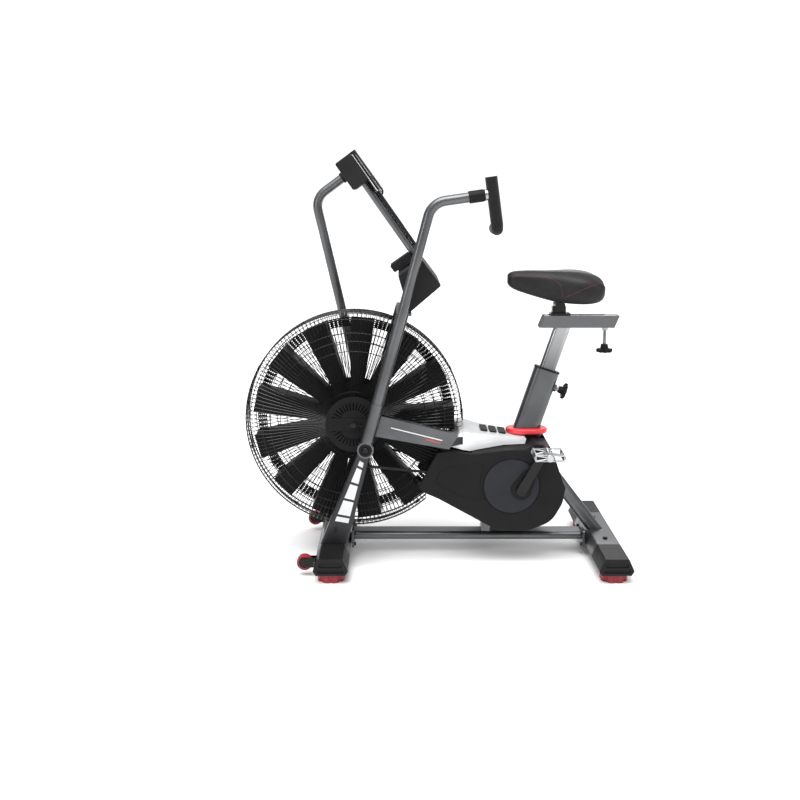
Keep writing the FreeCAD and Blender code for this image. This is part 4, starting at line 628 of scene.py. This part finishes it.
gripSettings = {"radius": 19.6, "up": 58, "down": 112, "bend": 24, "inward": 106}
for side, name in sides:
    body = name + "_handle_arm"
    s = gripSettings
    path = [gripPoint(side, s["up"] - 4, 15.5), gripPoint(side, -s["down"] + s["bend"], 15.5)]
    for i in range(1, 9):
        turn = math.pi / 2 * i / 8
        path.append(gripPoint(side, -s["down"] + s["bend"] * (1 - math.sin(turn)), 15.5,
                              s["bend"] * (1 - math.cos(turn))))
    path.append(gripPoint(side, -s["down"], 15.5, s["inward"]))
    foam = sweep([path], {"name": "foam", "radius": s["radius"] * mm, "sides": 6})
    applyModifier(foam, "BEVEL", {"width": 5 * mm, "segments": 4, "limit_method": "ANGLE",
                                  "angle_limit": math.radians(50)})
    settle(foam, {"name": name + "GripFoam", "material": "gripFoam", "body": body, "slot": "grip_foam"})
    outward = (gripPoint(side, 0, 10) - gripPoint(side, 0, 0)).normalized()
    collar = turned([(16.2 * mm, 0), (19 * mm, 0.5 * mm), (19.6 * mm, 3 * mm), (19.6 * mm, 44 * mm),
                     (17.8 * mm, 52 * mm), (16.2 * mm, 52 * mm)],
                    {"name": "collar", "place": standAt(gripPoint(side, 0, -62), outward)})
    settle(collar, {"name": name + "GripCollar", "material": "blackPlastic", "body": body,
                    "slot": "black_plastic"})
    stub = turned([(12 * mm, 0), (16.5 * mm, 0), (17.5 * mm, 4 * mm), (17.5 * mm, 12 * mm),
                   (12 * mm, 14 * mm)],
                  {"name": "stub", "place": standAt(gripPoint(side, 0, -14), outward)})
    inwards = Vector((0, -side, 0))
    cap = turned([(0, 17 * mm), (6 * mm, 16.4 * mm), (11 * mm, 13.5 * mm), (14 * mm, 8 * mm),
                  (14.6 * mm, 0), (12 * mm, -6 * mm), (0, -6 * mm)],
                 {"name": "cap", "place": standAt(gripPoint(side, -s["down"], 15.5, s["inward"] + 1),
                                                  inwards)})
    bright = joinPieces([stub, cap])
    settle(bright, {"name": name + "GripMetal", "material": "zincSteel", "body": body,
                    "slot": "bright_steel"})
    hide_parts(name + "_grip")

# knobs
print("knobs")


# lobed hand knob with a domed hub
def starKnob(settings):
    bpy.ops.mesh.primitive_cylinder_add(vertices=96, radius=1, depth=1, end_fill_type="TRIFAN")
    obj = bpy.context.view_layer.objects.active
    bpy.ops.object.mode_set(mode="EDIT")
    shape = bmesh.from_edit_mesh(obj.data)
    for vert in shape.verts:
        flat = math.hypot(vert.co.x, vert.co.y)
        if flat > 0.1:
            angle = math.atan2(vert.co.y, vert.co.x)
            reach = settings["radius"] * (0.9 + 0.1 * math.cos(settings["lobes"] * angle))
            vert.co.x, vert.co.y = reach * math.cos(angle), reach * math.sin(angle)
        vert.co.z *= settings["thick"]
    bmesh.update_edit_mesh(obj.data)
    bpy.ops.object.mode_set(mode="OBJECT")
    applyModifier(obj, "BEVEL", {"width": 3.5 * mm, "segments": 4, "limit_method": "ANGLE",
                                 "angle_limit": math.radians(60)})
    hub = turned([(0, 0), (16 * mm, 0), (14 * mm, 6 * mm), (12 * mm, 20 * mm), (10 * mm, 22 * mm),
                  (0, 22 * mm)], {"name": "hub", "place": Matrix.Identity(4)})
    knob = joinPieces([obj, hub])
    knob.matrix_world = settings["place"]
    return knob


# foot of the seat tube, and where the knob's face is: up along the tube and out behind it
tube = {"x": 325.5, "z": 456, "up": 155, "out": 68.5}
postAxis = Vector((math.cos(seatLean), 0, -math.sin(seatLean)))
postUp = Vector((math.sin(seatLean), 0, math.cos(seatLean)))
knobFace = (Vector((tube["x"], 0, tube["z"])) + postAxis * tube["out"] + postUp * tube["up"]) * mm
postKnob = starKnob({"radius": 28.6 * mm, "lobes": 8, "thick": 12 * mm,
                     "place": standAt(knobFace + postAxis * 13 * mm, -postAxis)})
settle(postKnob, {"name": "postStarKnob", "material": "blackPlastic", "body": "pop_pin",
                  "slot": "black_plastic"})
pin = turned([(0, -40 * mm), (5 * mm, -40 * mm), (5 * mm, -17 * mm), (7.5 * mm, -16 * mm),
              (8 * mm, -14 * mm), (8 * mm, 2 * mm), (0, 2 * mm)],
             {"name": "pin", "place": standAt(knobFace, postAxis)})
settle(pin, {"name": "postPin", "material": "zincSteel", "body": "pop_pin", "slot": "bright_steel"})
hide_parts("post_knob")

railLow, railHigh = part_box("rail_knob")
railMiddle = (railLow + railHigh) / 2
railKnob = starKnob({"radius": 28 * mm, "lobes": 8, "thick": 13 * mm,
                     "place": standAt((railMiddle.x, 0, railLow.z + 8 * mm), (0, 0, 1))})
settle(railKnob, {"name": "railStarKnob", "material": "blackPlastic", "body": "rail_screw",
                  "slot": "black_plastic"})
threadProfile = [(0, railLow.z + 29 * mm)]
for i in range(34):
    level = railLow.z + (30 + i * 2) * mm
    threadProfile += [(6 * mm, level), (5.2 * mm, level + 1 * mm)]
threadProfile.append((0, railHigh.z))
screw = turned(threadProfile, {"name": "screw", "place": Matrix.Translation((railMiddle.x, 0, 0))})
settle(screw, {"name": "railScrew", "material": "zincSteel", "body": "rail_screw",
               "slot": "bright_steel", "smooth": 60})
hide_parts("rail_knob")
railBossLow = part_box("saddle_rail")[0].z
boss = turned([(6.4 * mm, -11 * mm), (10 * mm, -11 * mm), (10 * mm, 0), (6.4 * mm, 0)],
              {"name": "boss", "place": Matrix.Translation((railMiddle.x, 0, railBossLow))})
settle(boss, {"name": "railBoss", "material": "zincSteel", "body": "seat", "slot": "bright_steel"})

# pedals
print("pedals")
pedalSettings = {"long": 46, "thick": 12, "inner": 6, "outer": 103, "teeth": 9, "out": 172}


# tread plate with saw teeth along both edges, standing across the pedal
def toothedPlate(settings):
    count = settings["teeth"] * 2
    top = []
    for i in range(count + 1):
        along = settings["inner"] + (settings["outer"] - settings["inner"]) * i / count
        top.append((along, settings["thick"] + (2.5 if i % 2 else -1.5)))
    outline = top + [(along, -height) for along, height in top[::-1]]
    mesh = bpy.data.meshes.new("tread")
    mesh.from_pydata([(0, along * mm, height * mm) for along, height in outline], [],
                     [list(range(len(outline)))])
    obj = bpy.data.objects.new("tread", mesh)
    bpy.context.scene.collection.objects.link(obj)
    applyModifier(obj, "SOLIDIFY", {"thickness": 3 * mm, "offset": 0})
    applyModifier(obj, "BEVEL", {"width": 0.5 * mm, "segments": 1})
    return obj


for side, name in sides:
    s = pedalSettings
    centre = Vector((crank["x"] - side * crank["long"] * math.sin(crank["lean"]), side * s["out"],
                     crank["z"] - side * crank["long"] * math.cos(crank["lean"]))) * mm
    place = Matrix.Translation(centre) @ Matrix.Scale(side, 4, (0, 1, 0))
    parts = []
    for end in (-1, 1):
        tread = toothedPlate(s)
        tread.matrix_world = place @ Matrix.Translation((end * s["long"] * mm, 0, 0))
        parts.append(tread)
    for along in (s["inner"] + 2, s["outer"] - 2):
        hexagon = [(-46, -10), (46, -10), (51, 0), (46, 10), (-46, 10), (-51, 0)]
        ring = sweep([[place @ Vector((x * mm, along * mm, z * mm)) for x, z in hexagon]],
                     {"name": "endFrame", "radius": 2.4 * mm, "closed": True})
        parts.append(ring)
        for x0, x1, z0, z1 in ((-46, -11, 9, 3), (-46, -11, -9, -3), (46, 11, 9, 3), (46, 11, -9, -3)):
            parts.append(sweep([[place @ Vector((x0 * mm, along * mm, z0 * mm)),
                                 place @ Vector((x1 * mm, along * mm, z1 * mm))]],
                               {"name": "spoke", "radius": 2.2 * mm}))
    parts.append(turned([(5.5 * mm, 0), (12 * mm, 0), (13 * mm, 2 * mm), (13 * mm, 12 * mm),
                         (9 * mm, 30 * mm), (9 * mm, 80 * mm), (13 * mm, 96 * mm), (13 * mm, 104 * mm),
                         (11 * mm, 107 * mm), (0, 107 * mm)],
                        {"name": "barrel", "place": standAt(centre, (0, side, 0))}))
    cage = joinPieces(parts)
    settle(cage, {"name": name + "PedalCage", "material": "castAluminium", "body": name + "_foot_pedal",
                  "slot": "aluminium", "smooth": 30})
    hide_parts(name + "_pedal")

# trim on the shroud, the handles' pivots, the frame's stripes and the console's bezel
print("trim")


# thin plate cut to an outline of (x, z) points on the side of the machine
def flatPiece(outline, settings):
    mesh = bpy.data.meshes.new(settings["name"])
    mesh.from_pydata([(x * mm, 0, z * mm) for x, z in outline], [], [list(range(len(outline)))])
    obj = bpy.data.objects.new(settings["name"], mesh)
    bpy.context.scene.collection.objects.link(obj)
    obj.location.y = settings["face"] * mm
    applyModifier(obj, "SOLIDIFY", {"thickness": settings["thick"] * mm, "offset": 0})
    if settings.get("bevel"):
        applyModifier(obj, "BEVEL", {"width": settings["bevel"] * mm, "segments": 2,
                                     "limit_method": "ANGLE", "angle_limit": math.radians(60)})
    return obj


# closed path with each (x, z, radius) corner rounded off by a short arc
def roundPath(corners, steps=6):
    path = []
    for i, (x, z, radius) in enumerate(corners):
        here = Vector((x, z))
        before = (Vector(corners[i - 1][:2]) - here).normalized()
        after = (Vector(corners[(i + 1) % len(corners)][:2]) - here).normalized()
        reach = radius / math.tan(max(before.angle(after), 0.05) / 2)
        start, end = here + before * reach, here + after * reach
        for j in range(steps + 1):
            t = j / steps
            path.append(start * (1 - t) ** 2 + here * (2 * t * (1 - t)) + end * t ** 2)
    return path


# raised beads: round the shroud's panel, as (x, z, corner radius), and round its disc
beadSettings = {"out": 142.2, "radius": 1.5,
                "panel": [(22, 332, 14), (126, 360, 12), (172, 350, 14), (152, 290, 60),
                          (176, 222, 14), (100, 240, 20), (4, 288, 12)],
                "disc": {"x": 262, "z": 277, "radius": 97, "steps": 96}}
# egg-shaped cover over the crank's axle: its big end, and the small end up and back from it
lobeSettings = {"face": 146, "thick": 2.4, "bevel": 0.8, "big": 36, "small": 26, "apart": 52}
# how far out the cap and the bolt of each handle's pivot stand
pivotSettings = {"cap": 239, "bolt": 239.5}
for side, name in sides:
    s = beadSettings
    disc = s["disc"]
    panel = [(v.x * mm, side * s["out"] * mm, v.y * mm) for v in roundPath(s["panel"])]
    turns = [math.tau * i / disc["steps"] for i in range(disc["steps"])]
    circle = [((disc["x"] + disc["radius"] * math.cos(turn)) * mm, side * s["out"] * mm,
               (disc["z"] + disc["radius"] * math.sin(turn)) * mm) for turn in turns]
    beads = [sweep([path], {"name": "bead", "radius": s["radius"] * mm, "closed": True, "sides": 2})
             for path in (panel, circle)]
    settle(joinPieces(beads), {"name": "shroudBeads", "material": "shroudPlastic", "body": "frame",
                               "slot": "shroud_plastic", "smooth": 60})
    s = lobeSettings
    lobe = []
    heading = math.pi / 2 - crank["lean"]
    for i in range(25):
        angle = heading + math.pi / 2 + math.pi * i / 24
        lobe.append((crank["x"] + s["big"] * math.cos(angle), crank["z"] + s["big"] * math.sin(angle)))
    for i in range(13):
        angle = heading - math.pi / 2 + math.pi * i / 12
        lobe.append((crank["x"] + s["apart"] * math.cos(heading) + s["small"] * math.cos(angle),
                     crank["z"] + s["apart"] * math.sin(heading) + s["small"] * math.sin(angle)))
    settle(flatPiece(lobe, {"name": "lobe", "face": side * s["face"], "thick": s["thick"],
                            "bevel": s["bevel"]}),
           {"name": "crankLobe", "material": "blackPlastic", "body": "frame", "slot": "black_plastic"})
    capAt, boltAt = [Vector((arm["x"], side * pivotSettings[kind], arm["z"])) * mm
                     for kind in ("cap", "bolt")]
    cap = turned([(0, 1.5 * mm), (12 * mm, 1.5 * mm), (13 * mm, 3.4 * mm), (18 * mm, 3.4 * mm),
                  (21 * mm, 2.4 * mm), (22 * mm, 0), (0, 0)],
                 {"name": "pivotCap", "place": standAt(capAt, (0, side, 0))})
    settle(cap, {"name": "pivotCap", "material": "blackPlastic", "body": name + "_handle_arm",
                 "slot": "black_plastic"})
    bolt = turned([(0, 0), (6 * mm, 0), (8.5 * mm, 1 * mm), (9 * mm, 4 * mm), (7 * mm, 5.5 * mm),
                   (5 * mm, 5.5 * mm), (4.5 * mm, 3 * mm), (0, 3 * mm)],
                  {"name": "pivotBolt", "steps": 24, "place": standAt(boltAt, (0, side, 0))})
    settle(bolt, {"name": "pivotBolt", "material": "blackPaint", "body": name + "_handle_arm",
                  "slot": "frame_paint"})

# pale bars that follow the uprights' front and rear edges, each edge as (x at the foot, x at the knee)
barSettings = {"foot": 86.4, "knee": 396, "front": (-384, -258), "rear": (-293, -214), "inset": 17,
               "drop": 8, "face": 185.1, "thick": 0.5,
               "heights": ((168, 184), (192, 240), (248, 296), (304, 352), (360, 376))}


def edgeAt(edge, z):
    foot, knee = barSettings[edge]
    return foot + (z - barSettings["foot"]) * (knee - foot) / (barSettings["knee"] - barSettings["foot"])


def slantedBar(low, high):
    inset, drop = barSettings["inset"], barSettings["drop"]
    return [(edgeAt("front", low) + inset, low), (edgeAt("rear", low) - inset, low - drop),
            (edgeAt("rear", high) - inset, high - drop), (edgeAt("front", high) + inset, high)]


# a thin pale line and a red dash along each beam
stripes = {"line": {"name": "beamLine", "material": "palePrint",
                    "outline": [(-146, 484), (24, 441), (26, 444), (-145, 487.5)]},
           "dash": {"name": "beamDash", "material": "redPlastic",
                    "outline": [(-32, 445), (18, 432), (19, 434.5), (-31, 447.8)]}}
stripeSettings = {"face": 173.1, "thick": 0.5}
for side, name in sides:
    bars = [flatPiece(slantedBar(low, high), {"name": "bar", "face": side * barSettings["face"],
                                              "thick": barSettings["thick"]})
            for low, high in barSettings["heights"]]
    settle(joinPieces(bars), {"name": "uprightBars", "material": "palePrint", "body": "frame",
                              "slot": "frame_paint"})
    for kind, stripe in stripes.items():
        cut = flatPiece(stripe["outline"], {"name": kind, "face": side * stripeSettings["face"],
                                            "thick": stripeSettings["thick"]})
        settle(cut, {"name": stripe["name"], "material": stripe["material"], "body": "frame",
                     "slot": "frame_paint"})

# raised bezel on the console's face
consoleSettings = {"lean": -35.5, "x": -272, "z": 1318}
consoleTilt = Matrix.Rotation(math.radians(consoleSettings["lean"]), 4, "Y")
consoleAt = Matrix.Translation((consoleSettings["x"] * mm, 0, consoleSettings["z"] * mm)) @ consoleTilt
bezel = roundedBlock({"size": (11 * mm, 196 * mm, 140 * mm), "bevel": 4 * mm,
                      "place": consoleAt @ Matrix.Translation((0.0355, 0, -0.027))})
settle(bezel, {"name": "consoleBezel", "material": "blackPlastic", "body": "frame",
               "slot": "black_plastic"})
rim = roundedBlock({"size": (2.4 * mm, 198.5 * mm, 142.5 * mm), "bevel": 1 * mm,
                    "place": consoleAt @ Matrix.Translation((0.033, 0, -0.027))})
settle(rim, {"name": "bezelRim", "material": "palePrint", "body": "frame", "slot": "screen_glass"})
glass = roundedBlock({"size": (2 * mm, 167 * mm, 61 * mm), "bevel": 0.8 * mm,
                      "place": consoleAt @ Matrix.Translation((0.0408, 0, 0.004))})
settle(glass, {"name": "screenWindow", "material": "smokedWindow", "body": "frame",
               "slot": "screen_glass"})
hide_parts("console_screen")
outwards = consoleTilt.to_3x3() @ Vector((1, 0, 0))
for name, body, across in (("startKey", "start_key", -34), ("modeKey", "mode_key", 34)):
    keyAt = consoleAt @ Vector((0.0385, across * mm, -0.052))
    key = turned([(0, 0), (7 * mm, 0), (7 * mm, 4 * mm), (6 * mm, 5 * mm), (0, 5.4 * mm)],
                 {"name": name, "place": standAt(keyAt, outwards)})
    settle(key, {"name": name, "material": "padRubber", "body": body, "slot": "pad_rubber"})
    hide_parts("start_button" if across < 0 else "mode_button")

# floor, light and camera
print("stage")
bpy.ops.mesh.primitive_plane_add(size=60)
floor = bpy.context.view_layer.objects.active
floor.name = "floor"
floorMaterial = bpy.data.materials.new("whiteFloor")
floorMaterial.use_nodes = True
floorShader = floorMaterial.node_tree.nodes["Principled BSDF"]
floorShader.inputs["Base Color"].default_value = hexColor("#f4f4f4")
floorShader.inputs["Roughness"].default_value = 0.9
floorShader.inputs["Specular IOR Level"].default_value = 0.1
floor.data.materials.append(floorMaterial)

# the room is white to the eye; what the metal mirrors is bright overhead and dim at eye level
world = bpy.data.worlds.new("studio")
world.use_nodes = True
worldTree = world.node_tree
worldTree.nodes.clear()
direction = addNode(worldTree, "ShaderNodeTexCoord").outputs["Generated"]
height = addNode(worldTree, "ShaderNodeSeparateXYZ", {}, {"Vector": direction}).outputs["Z"]
sky = addNode(worldTree, "ShaderNodeValToRGB", {}, {"Fac": height})
sky.color_ramp.elements[0].position = 0.0
sky.color_ramp.elements[0].color = (0.16, 0.16, 0.165, 1)
sky.color_ramp.elements[1].position = 0.75
sky.color_ramp.elements[1].color = (1.0, 1.0, 1.0, 1)
seen = addNode(worldTree, "ShaderNodeLightPath").outputs["Is Camera Ray"]
mixed = addNode(worldTree, "ShaderNodeMix", {"data_type": "RGBA"}, {"Factor": seen})
worldTree.links.new(sky.outputs["Color"], mixed.inputs["A"])
mixed.inputs["B"].default_value = (1.1, 1.1, 1.1, 1)
background = addNode(worldTree, "ShaderNodeBackground", {"Strength": 1.0},
                     {"Color": mixed.outputs["Result"]})
addNode(worldTree, "ShaderNodeOutputWorld", {}, {"Surface": background.outputs["Background"]})
bpy.context.scene.world = world

lamps = [
    {"name": "sun", "kind": "SUN", "at": (-0.8, -1.6, 4.0), "aim": (0, 0, 0), "wide": math.radians(50),
     "power": 2.6},
    {"name": "topSoft", "kind": "AREA", "at": (-0.4, -0.9, 3.2), "aim": (0, 0, 0.6), "wide": 1.6,
     "power": 22},
    {"name": "leftSoft", "kind": "AREA", "at": (-2.8, -2.4, 1.8), "aim": (-0.1, 0, 0.7), "wide": 0.8,
     "power": 22},
    {"name": "rightSoft", "kind": "AREA", "at": (2.6, -2.2, 1.9), "aim": (0.1, 0, 0.6), "wide": 0.8,
     "power": 16},
    {"name": "backSoft", "kind": "AREA", "at": (1.0, 2.8, 2.2), "aim": (0.1, 0, 0.6), "wide": 1.4,
     "power": 20},
]
for lamp in lamps:
    light = bpy.data.lights.new(lamp["name"], lamp["kind"])
    light.energy = lamp["power"]
    if lamp["kind"] == "SUN":
        light.angle = lamp["wide"]
    else:
        light.size = lamp["wide"]
    holder = bpy.data.objects.new(lamp["name"], light)
    holder.location = lamp["at"]
    holder.rotation_euler = (Vector(lamp["aim"]) - Vector(lamp["at"])).to_track_quat("-Z", "Y").to_euler()
    bpy.context.scene.collection.objects.link(holder)

bpy.context.scene.view_settings.view_transform = "Standard"
cameraSettings = {"at": (-0.122, -3.772, 1.286), "pitch": 11.1, "lens": 50, "shift": 0.0025}
camera = bpy.data.cameras.new("camera")
camera.lens = cameraSettings["lens"]
camera.sensor_width = 36
camera.shift_x = cameraSettings["shift"]
cameraObject = bpy.data.objects.new("camera", camera)
cameraObject.location = cameraSettings["at"]
cameraObject.rotation_euler = Euler((math.radians(90 - cameraSettings["pitch"]), 0, 0))
bpy.context.scene.collection.objects.link(cameraObject)
bpy.context.scene.camera = cameraObject

print("finish")
